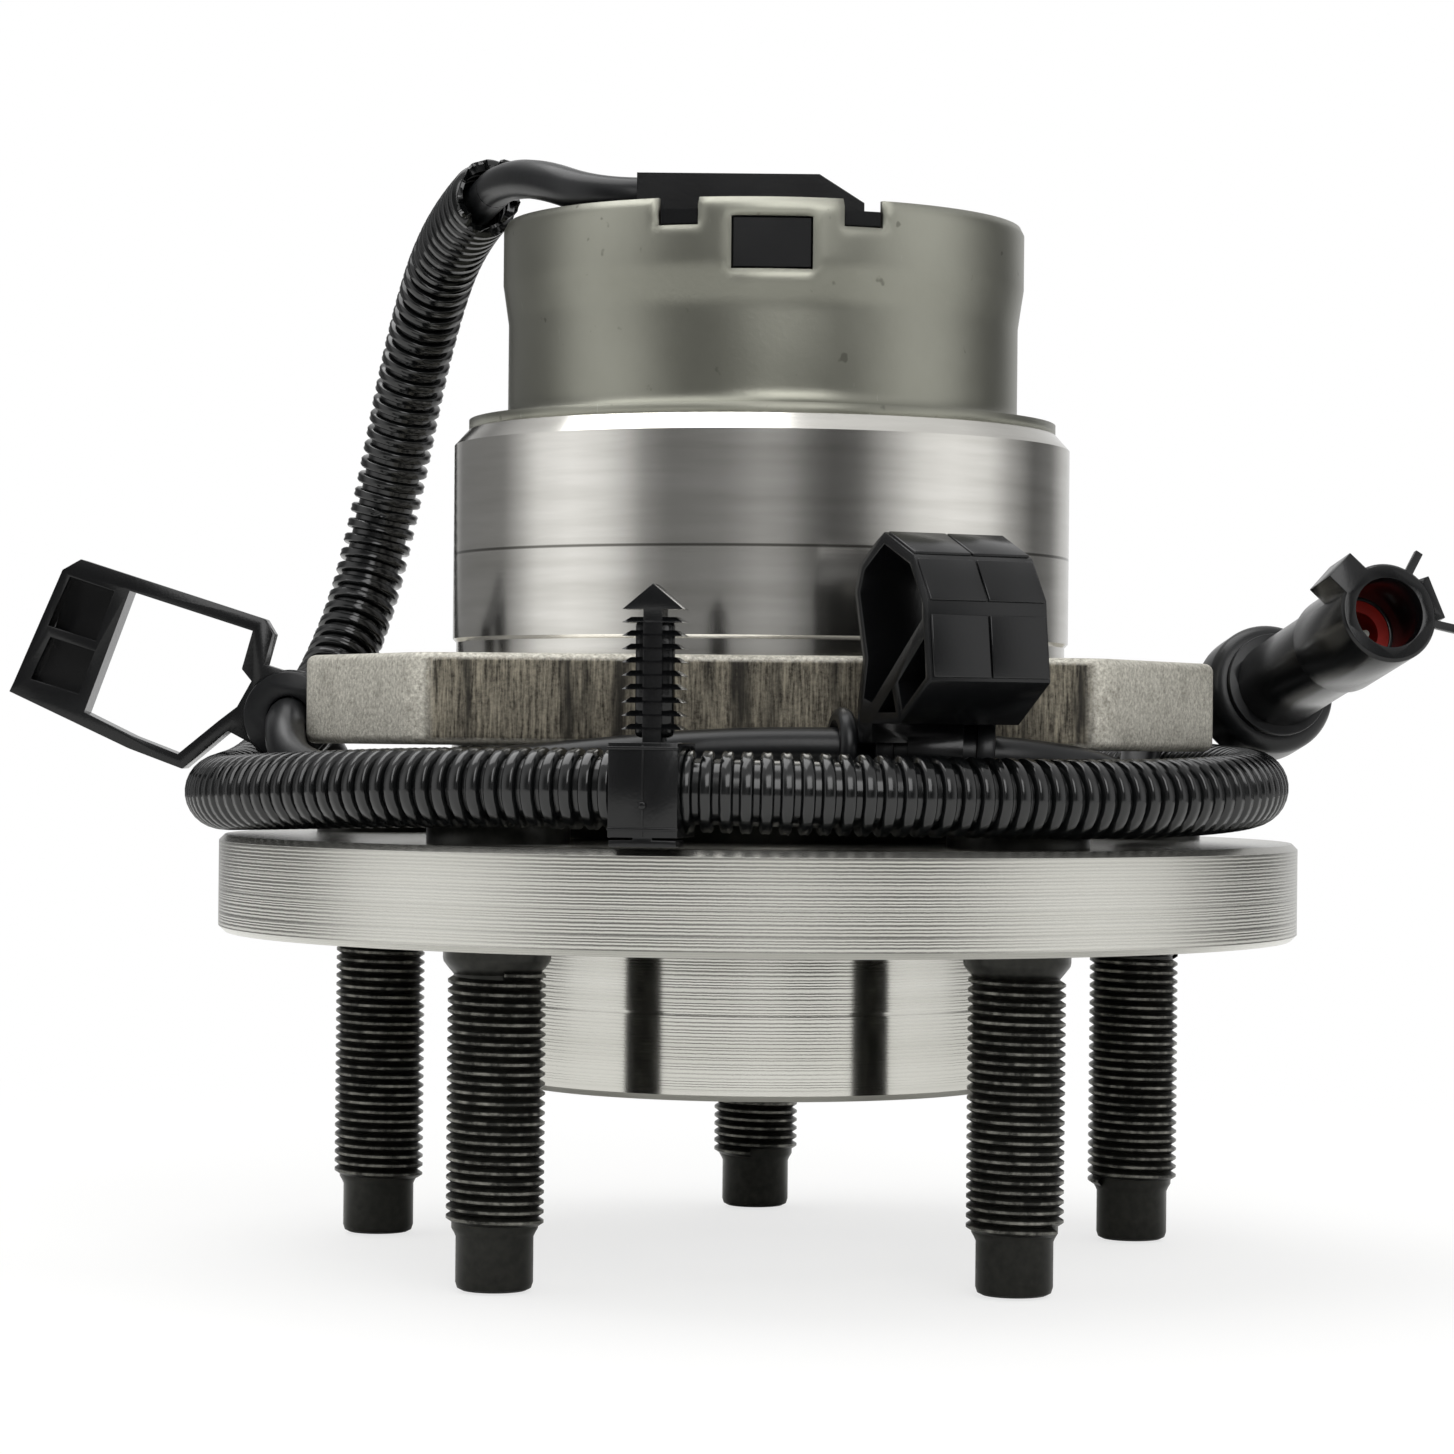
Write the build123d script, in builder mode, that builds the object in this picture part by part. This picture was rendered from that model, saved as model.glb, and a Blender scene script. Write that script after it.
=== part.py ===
from build123d import *
import os
from math import cos, pi, radians, sin, sqrt, tan

# Wheel hub bearing: a bolt-on hub unit with its speed sensor and sensor harness.
# Millimetres. +Z is the wheel axis and points inboard. The origin is the centre of the
# wheel flange's outboard face, so the wheel studs point down, along -Z.
# The photographed view looks along +Y with +X to the right.

os.makedirs("parts", exist_ok=True)

# Wheel flange, pilot and spindle
flange_r = 75.0
flange_t = 13.3
flange_edge = 0.8
pilot_r = 35.2
pilot_len = 20.9
pilot_groove_z = 9.1
pilot_groove = 0.5
nut_recess_r = 24.0
nut_recess_depth = 12.9
spline_minor_r = 15.0
spline_depth = 1.1
spline_teeth = 28
lead_in_r = 16.6
lead_in_len = 9.0
neck_r = 33.0
neck_rise = 4.2

# Wheel studs
stud_count = 5
stud_pcd = 114.3
stud_start_angle = 18.0
stud_r = 6.35
stud_collar_r = 7.0
stud_collar_len = 2.6
thread_pitch = 1.27
thread_depth = 0.73
thread_crest = 0.4
thread_start = 2.9
thread_turns = 26
stud_dog_r = 5.03
stud_length = 44.4
stud_head_r = 9.3
stud_head_t = 3.0
stud_head_edge = 1.0

# Ball bearing
ball_r = 6.35
ball_count = 13
pitch_r = 31.0
row_gap = 24.0
outboard_row_z = 30.0
groove_clearance = 0.25
race_shoulder_r = 28.3
race_land_r = 25.6
outer_land_r = 34.0
seal_bore_r = 37.0
cage_inner_r = 29.0
cage_outer_r = 33.4
cage_half_len = 8.0
pocket_clearance = 0.25
inner_ring_bore_r = 21.0
inner_ring_top = 74.0
spindle_top = 71.0

# Outer ring and mounting flange
ring_r = 43.0
ring_bottom = 18.0
ring_top = 69.7
ring_chamfer_r = 2.0
ring_chamfer_z = 2.2
ring_relief = 0.5
mount_flange_bottom = 25.9
mount_flange_t = 12.0
mount_face_dist = 47.0
mount_lobe_dist = 62.0
mount_lobe_fillet = 7.0
mount_edge = 1.2
mount_hole_count = 3
mount_hole_pcd = 104.0
mount_hole_r = 5.1

# Seals
seal_sheet = 0.8
seal_width = 3.4
seal_inner_r = 30.6
lip_clearance = 0.2
seal_inset = 0.3

# Sensor cap, a stamped steel can
cap_flange_r = 41.0
cap_sheet = 1.4
cap_swell = 0.8
cap_flare_start = 84.5
cap_flare_end = 90.0
cap_top = 98.5
cap_bend = 1.0
notch_width = 5.7
notch_depth = 3.7
notch_angles = [-108.4, -68.6]
window_width = 10.8
window_bottom = 89.0
window_height = 7.0
window_count = 3
window_angle = -88.3

# Speed sensor and tone ring
sensor_bottom = 86.0
sensor_top = 97.0
sensor_fit = 0.3
sensor_gap = 0.8
sensor_wall = 7.5
coil_t = 1.5
latch_reach = 1.1
boss_left = -17.0
boss_right = 10.3
boss_depth = 8.5
boss_top = 102.3
boss_slope = 3.0
tone_r = 26.4
tone_sheet = 1.5
tone_top = 96.0
tone_teeth = 44
tone_slot = 1.9
tone_slot_len = 9.0

# Harness
conduit_d = 10.2
cable_d = 5.5
lead_d = 5.4
bend_share = 0.45

# Clips and grommets on the harness
clip_fit = 0.1
band_wall = 1.2
grommet_r = 6.2
grommet_waist_r = 5.2
grommet_len = 9.8
grommet_back_rim = 0.7
grommet_front_rim = 2.4
left_grommet_at = (-65.4, 3.2, 29.6)
clip_lean = 17.5
cell_web = 1.2
sleeve_r = 3.9
sleeve_rim_r = 4.8
sleeve_rim_t = 2.4
sleeve_start = 12.8
sleeve_len = 15.2
middle_clip_yaw = 30.0
middle_clip_len = 17.6
middle_clip_at = (24.0, -60.3, 29.1)
middle_band_len = 7.0

# Push-in clip on the conduit
collar_width = 8.7
collar_depth = 10.9
collar_shift = -1.35
collar_drop = 5.75
collar_top = 5.9
collar_fit = 0.15
tab_gap = 0.3
tab_neck_w = 2.4
tab_w = 8.4
tab_depth = 5.0
tab_t = 0.85
stem_w = 2.4
stem_t = 3.6
fin_count = 9
fin_start = 1.6
fin_pitch = 1.65
fin_w = 7.7
fin_t = 4.4
fin_rise = 0.7
fin_taper = 55.0
tip_rise = 3.2

# Connector
boot_centre = (71.6, 8.0, 34.2)
connector_mouth = (83.1, -34.0, 44.6)
boot_r = 9.3
boot_half = 4.5
boot_round = 2.2
boot_collar_r = 7.4
boot_collar_len = 1.2
boot_neck_r = 3.8
boot_neck_corner = (56.22, 18.32, 33.08)
plug_tail_r = 5.4
plug_tail_len = 6.0
plug_r = 6.1
plug_head_r = 6.75
plug_head_len = 17.0
socket_r = 4.75
socket_mouth_len = 10.4
socket_inner_r = 4.5
socket_depth = 20.0
seal_hole_r = 2.9
plug_seal_t = 9.3
pin_spacing = 2.6
pin_r = 0.5
pin_len = 9.0
latch_turn = 135.0
latch_rise = 2.4
latch_width = 4.6
latch_len = 7.0
key_turn = 18.0
key_rise = 0.9
key_width = 6.0
key_len = 6.0
peg_turns = [58.0, -12.0]
peg_len = 3.2
peg_t = 1.1


# Wheel hub: wheel flange, pilot and spindle in one forging, with the outboard ball groove
# ground into it and a splined bore for the axle.
groove_r = ball_r + groove_clearance
inboard_row_z = outboard_row_z + row_gap
land_z = outboard_row_z + row_gap / 2
stud_circle_r = stud_pcd / 2
spline_start = nut_recess_depth - pilot_len
spline_end = spindle_top - lead_in_len

with BuildPart() as hub_spindle:
    with BuildSketch(Plane.XZ):
        with BuildLine():
            Polyline(
                (nut_recess_r, -pilot_len),
                (pilot_r - flange_edge, -pilot_len),
                (pilot_r, -pilot_len + flange_edge),
                (pilot_r, -pilot_groove_z - pilot_groove),
                (pilot_r - pilot_groove, -pilot_groove_z - pilot_groove),
                (pilot_r - pilot_groove, -pilot_groove_z),
                (pilot_r, -pilot_groove_z),
                (pilot_r, 0),
                (flange_r - flange_edge, 0),
                (flange_r, flange_edge),
                (flange_r, flange_t - flange_edge),
                (flange_r - flange_edge, flange_t),
                (neck_r, flange_t),
                (race_shoulder_r, flange_t + neck_rise),
                (race_shoulder_r, outboard_row_z),
                (race_land_r, outboard_row_z),
                (race_land_r, land_z),
                (inner_ring_bore_r, land_z),
                (inner_ring_bore_r, spindle_top - flange_edge),
                (inner_ring_bore_r - flange_edge, spindle_top),
                (lead_in_r, spindle_top),
                (lead_in_r, spline_end),
                (spline_minor_r, spline_end),
                (spline_minor_r, spline_start),
                (nut_recess_r, spline_start),
                close=True,
            )
        make_face()
    revolve(axis=Axis.Z)
    with BuildSketch(Plane.XZ):
        with Locations((pitch_r, outboard_row_z)):
            Circle(groove_r)
    revolve(axis=Axis.Z, mode=Mode.SUBTRACT)
    with BuildSketch(Plane.XY.offset(spline_start)):
        with PolarLocations(spline_minor_r, spline_teeth):
            Trapezoid(2 * spline_depth, 2 * spline_depth, 72, rotation=-90)
    extrude(amount=spline_end - spline_start, mode=Mode.SUBTRACT)
    with BuildSketch(Plane.XY):
        with PolarLocations(stud_circle_r, stud_count, start_angle=stud_start_angle):
            Circle(stud_collar_r)
    extrude(amount=flange_t, mode=Mode.SUBTRACT)
hub_spindle.part.label = "hub_spindle"

# Wheel studs: round heads on the inboard face, shanks pressed through the flange, rolled
# threads and dog points below it. Each thread turn is drawn as one closed ridge.
thread_root_r = stud_r - thread_depth
thread_end = thread_start + thread_turns * thread_pitch
thread_outline = []
for ridge in range(thread_turns):
    ridge_z = -thread_start - (ridge + 0.5) * thread_pitch
    thread_outline.append((thread_root_r, ridge_z + thread_pitch / 2))
    thread_outline.append((stud_r, ridge_z + thread_crest / 2))
    thread_outline.append((stud_r, ridge_z - thread_crest / 2))
with BuildPart() as wheel_studs:
    with BuildSketch(Plane.XZ):
        with BuildLine():
            Polyline(
                (0, flange_t + stud_head_t),
                (stud_head_r - stud_head_edge, flange_t + stud_head_t),
                (stud_head_r, flange_t + stud_head_t - stud_head_edge),
                (stud_head_r, flange_t),
                (stud_collar_r, flange_t),
                (stud_collar_r, 0),
                (stud_collar_r, -stud_collar_len / 2),
                *thread_outline,
                (thread_root_r, -thread_end),
                (stud_dog_r, -thread_end - thread_pitch),
                (stud_dog_r, -stud_length + flange_edge),
                (stud_dog_r - flange_edge, -stud_length),
                (0, -stud_length),
                close=True,
            )
        make_face()
    revolve(axis=Axis.Z)
stud_places = PolarLocations(stud_circle_r, stud_count, start_angle=stud_start_angle)
wheel_studs_set = Compound(children=[place * wheel_studs.part.solid() for place in stud_places])
wheel_studs_set.label = "wheel_studs"

# Inner ring: pressed on the spindle, with the inboard ball groove and the tone ring's seat.
tone_seat_r = tone_r - tone_sheet
inner_ring_step = ring_top - seal_width
with BuildPart() as inner_ring:
    with BuildSketch(Plane.XZ):
        with BuildLine():
            Polyline(
                (inner_ring_bore_r, land_z),
                (race_land_r, land_z),
                (race_land_r, inboard_row_z),
                (race_shoulder_r, inboard_row_z),
                (race_shoulder_r, inner_ring_step),
                (tone_seat_r, inner_ring_step),
                (tone_seat_r, inner_ring_top),
                (inner_ring_bore_r, inner_ring_top),
                close=True,
            )
        make_face()
    revolve(axis=Axis.Z)
    with BuildSketch(Plane.XZ):
        with Locations((pitch_r, inboard_row_z)):
            Circle(groove_r)
    revolve(axis=Axis.Z, mode=Mode.SUBTRACT)
inner_ring.part.label = "inner_ring"

# Balls and cages: each row rolls in its own moulded cage.
ball_angle = 360 / ball_count


def ball_row(row_z):
    with BuildPart() as row:
        with Locations((0, 0, row_z)):
            with PolarLocations(pitch_r, ball_count):
                Sphere(ball_r)
    return Compound(children=list(row.part.solids()))


def ball_cage(row_z):
    with BuildPart() as cage:
        with BuildSketch(Plane.XY.offset(row_z - cage_half_len)):
            Circle(cage_outer_r)
            Circle(cage_inner_r, mode=Mode.SUBTRACT)
        extrude(amount=2 * cage_half_len)
        with Locations((0, 0, row_z)):
            with PolarLocations(pitch_r, ball_count):
                Cylinder(ball_r + pocket_clearance, 2 * ball_r, rotation=(0, 90, 0), mode=Mode.SUBTRACT)
    return cage.part


outboard_balls = ball_row(outboard_row_z)
outboard_balls.label = "outboard_balls"
inboard_balls = ball_row(inboard_row_z)
inboard_balls.label = "inboard_balls"
outboard_cage = ball_cage(outboard_row_z)
outboard_cage.label = "outboard_cage"
inboard_cage = ball_cage(inboard_row_z)
inboard_cage.label = "inboard_cage"

# Outer ring: the fixed forging, with both outer ball grooves, the seal bores and a
# three-lobed mounting flange with tapped holes for the knuckle bolts.
mount_flange_top = mount_flange_bottom + mount_flange_t
with BuildPart() as outer_ring:
    with BuildSketch(Plane.XZ):
        with BuildLine():
            Polyline(
                (seal_bore_r, ring_bottom),
                (ring_r - flange_edge, ring_bottom),
                (ring_r, ring_bottom + flange_edge),
                (ring_r, mount_flange_top),
                (ring_r - ring_relief, mount_flange_top),
                (ring_r - ring_relief, mount_flange_top + ring_chamfer_z),
                (ring_r, mount_flange_top + ring_chamfer_z + ring_relief),
                (ring_r, ring_top - ring_chamfer_z),
                (ring_r - ring_chamfer_r, ring_top),
                (seal_bore_r, ring_top),
                (seal_bore_r, inboard_row_z),
                (outer_land_r, inboard_row_z),
                (outer_land_r, outboard_row_z),
                (seal_bore_r, outboard_row_z),
                close=True,
            )
        make_face()
    revolve(axis=Axis.Z)
    with BuildSketch(Plane.XY.offset(mount_flange_bottom)):
        RegularPolygon(mount_face_dist, 3, major_radius=False, rotation=90)
        RegularPolygon(mount_lobe_dist, 3, major_radius=False, rotation=-90, mode=Mode.INTERSECT)
        Circle(ring_r - ring_relief, mode=Mode.SUBTRACT)
    extrude(amount=mount_flange_t)
    lobe_edges = outer_ring.edges().filter_by(Axis.Z).filter_by(
        lambda edge: Vector(edge.center().X, edge.center().Y).length > mount_lobe_dist
    )
    fillet(lobe_edges, mount_lobe_fillet)
    rim_edges = outer_ring.edges().filter_by(
        lambda edge: abs(edge.center().Z - mount_flange_bottom - mount_flange_t / 2) > mount_flange_t / 2 - 0.01
        and Vector(edge.center().X, edge.center().Y).length > ring_r + 1
        and mount_flange_bottom - 1 < edge.center().Z < mount_flange_top + 1
    )
    fillet(rim_edges, mount_edge)
    for row_z in (outboard_row_z, inboard_row_z):
        with BuildSketch(Plane.XZ):
            with Locations((pitch_r, row_z)):
                Circle(groove_r)
        revolve(axis=Axis.Z, mode=Mode.SUBTRACT)
    with Locations((0, 0, mount_flange_top)):
        with PolarLocations(mount_hole_pcd / 2, mount_hole_count, start_angle=90):
            Hole(mount_hole_r, depth=mount_flange_t)
outer_ring.part.label = "outer_ring"


# Seals: a pressed steel case in the outer ring's bore and a rubber lip on the turning shoulder.
def seal_case(face_z, inward):
    with BuildPart() as case:
        with BuildSketch(Plane.XZ):
            with BuildLine():
                Polyline(
                    (seal_bore_r, face_z + inward * seal_inset),
                    (seal_bore_r, face_z + inward * (seal_inset + seal_width)),
                    (seal_inner_r, face_z + inward * (seal_inset + seal_width)),
                    (seal_inner_r, face_z + inward * (seal_inset + seal_width - seal_sheet)),
                    (seal_bore_r - seal_sheet, face_z + inward * (seal_inset + seal_width - seal_sheet)),
                    (seal_bore_r - seal_sheet, face_z + inward * seal_inset),
                    close=True,
                )
            make_face()
        revolve(axis=Axis.Z)
    return case.part


def seal_lip(face_z, inward):
    lip_r = race_shoulder_r + lip_clearance
    with BuildPart() as lip:
        with BuildSketch(Plane.XZ):
            with BuildLine():
                Polyline(
                    (seal_inner_r, face_z + inward * (seal_inset + seal_width)),
                    (seal_inner_r, face_z + inward * (seal_inset + seal_width - seal_sheet)),
                    (seal_bore_r - 4 * seal_sheet, face_z + inward * (seal_inset + seal_width - seal_sheet)),
                    (seal_inner_r, face_z + inward * (seal_inset + seal_sheet)),
                    (lip_r, face_z + inward * seal_inset),
                    (lip_r, face_z + inward * (seal_inset + seal_sheet)),
                    (lip_r + seal_sheet, face_z + inward * (seal_inset + 2 * seal_sheet)),
                    (lip_r, face_z + inward * (seal_inset + seal_width)),
                    close=True,
                )
            make_face()
        revolve(axis=Axis.Z)
    return lip.part


outboard_seal_case = seal_case(ring_bottom, 1)
outboard_seal_case.label = "outboard_seal_case"
outboard_seal_lip = seal_lip(ring_bottom, 1)
outboard_seal_lip.label = "outboard_seal_lip"
inboard_seal_case = seal_case(ring_top, -1)
inboard_seal_case.label = "inboard_seal_case"
inboard_seal_lip = seal_lip(ring_top, -1)
inboard_seal_lip.label = "inboard_seal_lip"

# Sensor cap: a deep-drawn steel can whose foot sits on the outer ring's end. It is sized
# outwards from the tone ring and the sensor that it holds.
sensor_bore_r = tone_r + sensor_gap
sensor_r = sensor_bore_r + sensor_wall
cap_mouth_r = sensor_r + sensor_fit + cap_sheet
cap_r = cap_mouth_r - cap_swell
with BuildPart() as sensor_cap:
    with BuildSketch(Plane.XZ):
        with BuildLine():
            Polyline(
                (cap_r - cap_sheet, ring_top),
                (cap_flange_r, ring_top),
                (cap_flange_r, ring_top + cap_sheet),
                (cap_r + cap_bend, ring_top + cap_sheet),
                (cap_r, ring_top + cap_sheet + cap_bend),
                (cap_r, cap_flare_start),
                (cap_mouth_r, cap_flare_end),
                (cap_mouth_r, cap_top - cap_bend),
                (cap_mouth_r - cap_bend / 2, cap_top),
                (cap_mouth_r - cap_sheet, cap_top),
                (cap_mouth_r - cap_sheet, cap_flare_end),
                (cap_r - cap_sheet, cap_flare_start),
                close=True,
            )
        make_face()
    revolve(axis=Axis.Z)
    for angle in notch_angles:
        notch_plane = Plane.XY.offset(cap_top - notch_depth).rotated((0, 0, angle))
        with BuildSketch(notch_plane):
            with Locations((cap_mouth_r, 0)):
                Rectangle(4 * cap_sheet, notch_width)
        extrude(amount=notch_depth + cap_sheet, mode=Mode.SUBTRACT)
    for step in range(window_count):
        angle = window_angle + step * 360 / window_count
        window_plane = Plane.XY.offset(window_bottom).rotated((0, 0, angle))
        with BuildSketch(window_plane):
            with Locations((cap_mouth_r, 0)):
                Rectangle(4 * cap_sheet, window_width)
        extrude(amount=window_height, mode=Mode.SUBTRACT)
sensor_cap.part.label = "sensor_cap"

# Speed sensor: a moulded ring snapped into the cap, its latches in the windows, tabs in
# the notches, and a boss over the rim for the lead.
flare_slope = cap_swell / (cap_flare_end - cap_flare_start)
sensor_foot_r = sensor_r - (cap_flare_end - sensor_bottom) * flare_slope - cap_bend / 2
boss_front = sensor_fit - sqrt(sensor_r**2 - boss_left**2)
boss_back = boss_front + boss_depth
with BuildPart() as sensor_ring:
    with BuildSketch(Plane.XZ):
        with BuildLine():
            Polyline(
                (sensor_bore_r, sensor_bottom),
                (sensor_foot_r, sensor_bottom),
                (sensor_r, cap_flare_end),
                (sensor_r, sensor_top),
                (sensor_bore_r, sensor_top),
                close=True,
            )
        make_face()
    revolve(axis=Axis.Z)
    latch_mid = sensor_r + latch_reach / 2 - 1
    for step in range(window_count):
        angle = window_angle + step * 360 / window_count
        latch_plane = Plane.XY.offset(window_bottom + sensor_fit).rotated((0, 0, angle))
        with BuildSketch(latch_plane):
            with Locations((latch_mid, 0)):
                Rectangle(latch_reach + 2, window_width - 2 * sensor_fit)
        extrude(amount=window_height - 2 * sensor_fit)
    for angle in notch_angles:
        tab_plane = Plane.XY.offset(cap_top - notch_depth + sensor_fit).rotated((0, 0, angle))
        with BuildSketch(tab_plane):
            with Locations((latch_mid, 0)):
                Rectangle(latch_reach + 2, notch_width - 2 * sensor_fit)
        extrude(amount=sensor_top - cap_top + notch_depth - sensor_fit)
    with BuildSketch(Plane.XZ.offset(-boss_front)):
        with BuildLine():
            Polyline(
                (boss_left, sensor_top - 1),
                (boss_right + boss_slope, sensor_top - 1),
                (boss_right + boss_slope, sensor_top + 1.5),
                (boss_right - boss_slope, boss_top),
                (boss_left, boss_top),
                close=True,
            )
        make_face()
    extrude(amount=boss_front - boss_back)
sensor_ring.part.label = "sensor_ring"

# Sensor coil: the wound pole ring bonded under the moulded ring.
with BuildPart() as sensor_coil:
    with BuildSketch(Plane.XY.offset(sensor_bottom - coil_t)):
        Circle(sensor_foot_r - sensor_fit)
        Circle(sensor_bore_r, mode=Mode.SUBTRACT)
    extrude(amount=coil_t)
sensor_coil.part.label = "sensor_coil"

# Tone ring: a toothed steel sleeve pressed on the inner ring, turning inside the sensor.
with BuildPart() as tone_ring:
    with BuildSketch(Plane.XY.offset(inner_ring_step)):
        Circle(tone_r)
        Circle(tone_seat_r, mode=Mode.SUBTRACT)
    extrude(amount=tone_top - inner_ring_step)
    with BuildSketch(Plane.XY.offset(tone_top - tone_slot_len)):
        with PolarLocations(tone_r, tone_teeth):
            Rectangle(4 * tone_sheet, tone_slot)
    extrude(amount=tone_slot_len, mode=Mode.SUBTRACT)
tone_ring.part.label = "tone_ring"

# Sensor harness. The points are the corners of the real route, and each bend is an arc
# that takes a fixed share of the shorter run beside it.
lead_points = [
    (-17.0, -23.5, 99.8),
    (-22.8, -23.5, 99.8),
    (-31.0, -14.2, 103.6),
    (-36.44, -3.6, 104.4),
    (-37.8, 0.5, 103.9),
]
conduit_points = [
    (-37.8, 0.5, 103.9),
    (-44.6, 21.0, 101.4),
    (-51.0, 36.5, 87.0),
    (-56.5, 45.5, 62.0),
    (-60.6, 42.8, 43.5),
    (-66.4, 31.0, 28.8),
    (-71.8, 13.0, 20.8),
    (-75.5, -9.0, 18.9),
    (-67.5, -33.5, 19.4),
    (-35.7, -65.7, 20.9),
    (9.8, -74.2, 20.2),
    (50.5, -54.9, 19.6),
    (69.5, -24.0, 21.0),
    (61.8, 11.5, 22.3),
    (50.0, 45.0, 22.3),
    (26.0, 70.0, 20.4),
    (-8.0, 74.5, 19.6),
    (-37.0, 64.3, 19.6),
    (-49.0, 54.5, 19.9),
]
cable_points = [
    (-49.0, 54.5, 19.9),
    (-61.0, 44.7, 20.2),
    (-63.8, 32.2, 19.4),
    (-60.9, 20.5, 22.6),
    (-65.4, 9.0, 29.6),
    (-65.4, -13.4, 29.6),
    (-62.8, -26.0, 22.2),
    (-48.0, -40.5, 21.4),
    (-26.0, -52.2, 23.8),
    (2.0, -52.8, 26.4),
    (40.0, -54.1, 24.7),
    (50.0, -34.6, 20.4),
    (51.5, -14.0, 20.0),
    (53.0, 3.2, 20.2),
    (55.3, 14.0, 29.4),
]


def bend_radii(points):
    radii = []
    for before, corner, after in zip(points, points[1:], points[2:]):
        run_in = Vector(*corner) - Vector(*before)
        run_out = Vector(*after) - Vector(*corner)
        turn = run_in.get_angle(run_out)
        shorter = min(run_in.length, run_out.length)
        radii.append(bend_share * shorter / tan(radians(turn / 2)))
    return radii


def routed_tube(name, points, diameter):
    radii = bend_radii(points)
    start = Vector(*points[0])
    heading = Vector(*points[1]) - start
    with BuildPart() as tube:
        with BuildLine() as route:
            FilletPolyline(*points, radius=radii)
        with BuildSketch(Plane(origin=start, z_dir=heading)):
            Circle(diameter / 2)
        sweep(path=route.wires()[0])
    route_length = route.wires()[0].length
    section = pi * diameter**2 / 4
    print(name, "length", round(route_length, 1), "volume share", round(tube.part.volume / section / route_length, 4))
    print(name, "bend radii", [round(radius, 1) for radius in radii])
    tube.part.label = name
    return tube.part


lead_cable = routed_tube("lead_cable", lead_points, lead_d)
conduit = routed_tube("conduit", conduit_points, conduit_d)
harness_cable = routed_tube("harness_cable", cable_points, cable_d)

# Left grommet: a rubber spool moulded on the cable, with a thick front rim.
cable_r = cable_d / 2
left_grommet_plane = Plane(origin=left_grommet_at, x_dir=(1, 0, 0), z_dir=(0, -1, 0))
with BuildPart() as left_grommet:
    with BuildSketch(left_grommet_plane):
        Circle(grommet_r)
        Circle(cable_r, mode=Mode.SUBTRACT)
    extrude(amount=grommet_len)
    with BuildSketch(left_grommet_plane.offset(grommet_back_rim)):
        Circle(grommet_r)
        Circle(grommet_waist_r, mode=Mode.SUBTRACT)
    extrude(amount=grommet_len - grommet_back_rim - grommet_front_rim, mode=Mode.SUBTRACT)
left_grommet.part.label = "left_grommet"

# Middle grommet: a longer spool of the same rubber, lying along the mounting flange.
middle_plane = Plane(origin=cable_points[9], z_dir=Vector(*cable_points[10]) - Vector(*cable_points[9]))
with BuildPart() as middle_grommet:
    with BuildSketch(middle_plane.offset(sleeve_start)):
        Circle(sleeve_rim_r)
        Circle(cable_r, mode=Mode.SUBTRACT)
    extrude(amount=sleeve_len)
    with BuildSketch(middle_plane.offset(sleeve_start + sleeve_rim_t)):
        Circle(sleeve_rim_r)
        Circle(sleeve_r, mode=Mode.SUBTRACT)
    extrude(amount=sleeve_len - 2 * sleeve_rim_t, mode=Mode.SUBTRACT)
middle_grommet.part.label = "middle_grommet"

# Left clip: a moulded loop that closes round a bracket, with a two-cell box at its far end
# and a band round the left grommet's waist. Its profile leans up to the left.
band_r = grommet_waist_r + clip_fit
left_clip_mid = grommet_back_rim + (grommet_len - grommet_back_rim - grommet_front_rim) / 2
left_clip_width = grommet_len - grommet_back_rim - grommet_front_rim - 2 * clip_fit
left_clip_plane = Plane(
    origin=(left_grommet_at[0], left_grommet_at[1] - left_clip_mid, left_grommet_at[2]),
    x_dir=(-cos(radians(clip_lean)), 0, sin(radians(clip_lean))),
    z_dir=(0, 1, 0),
)
with BuildPart() as left_clip:
    with BuildSketch(left_clip_plane):
        with BuildLine():
            Polyline(
                (1.0, -5.8),
                (7.6, -4.6),
                (12.0, -11.6),
                (20.0, -11.2),
                (38.2, -8.8),
                (38.0, -7.2),
                (36.4, 9.6),
                (34.4, 11.8),
                (7.6, 11.8),
                (5.8, 10.2),
                (5.6, 5.8),
                (1.0, 5.8),
                close=True,
            )
        make_face()
        with BuildLine():
            Polyline(
                (7.4, -1.0),
                (9.2, -3.6),
                (13.2, -9.8),
                (20.0, -9.4),
                (27.4, -8.3),
                (26.6, 9.7),
                (8.6, 9.7),
                (8.4, 4.2),
                (6.6, 3.0),
                close=True,
            )
        make_face(mode=Mode.SUBTRACT)
        for cell_bottom, cell_top in ((-6.2, 0.2), (1.6, 9.0)):
            with BuildLine():
                Polyline(
                    (28.9, cell_bottom),
                    (35.9, cell_bottom),
                    (35.1, cell_top),
                    (28.6, cell_top),
                    close=True,
                )
            make_face(mode=Mode.SUBTRACT)
    extrude(amount=left_clip_width / 2, both=True)
    with BuildSketch(left_clip_plane):
        Circle(band_r + band_wall)
        Circle(band_r, mode=Mode.SUBTRACT)
    extrude(amount=left_clip_width / 2, both=True)
    with BuildSketch(left_clip_plane):
        Circle(band_r)
    extrude(amount=left_clip_width / 2, both=True, mode=Mode.SUBTRACT)
    with BuildSketch(left_clip_plane.offset(left_clip_width / 2)):
        with BuildLine():
            Polyline((28.4, -6.4), (36.2, -6.4), (35.4, 9.2), (28.2, 9.2), close=True)
        make_face()
    extrude(amount=-cell_web)
left_clip.part.label = "left_clip"

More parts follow.
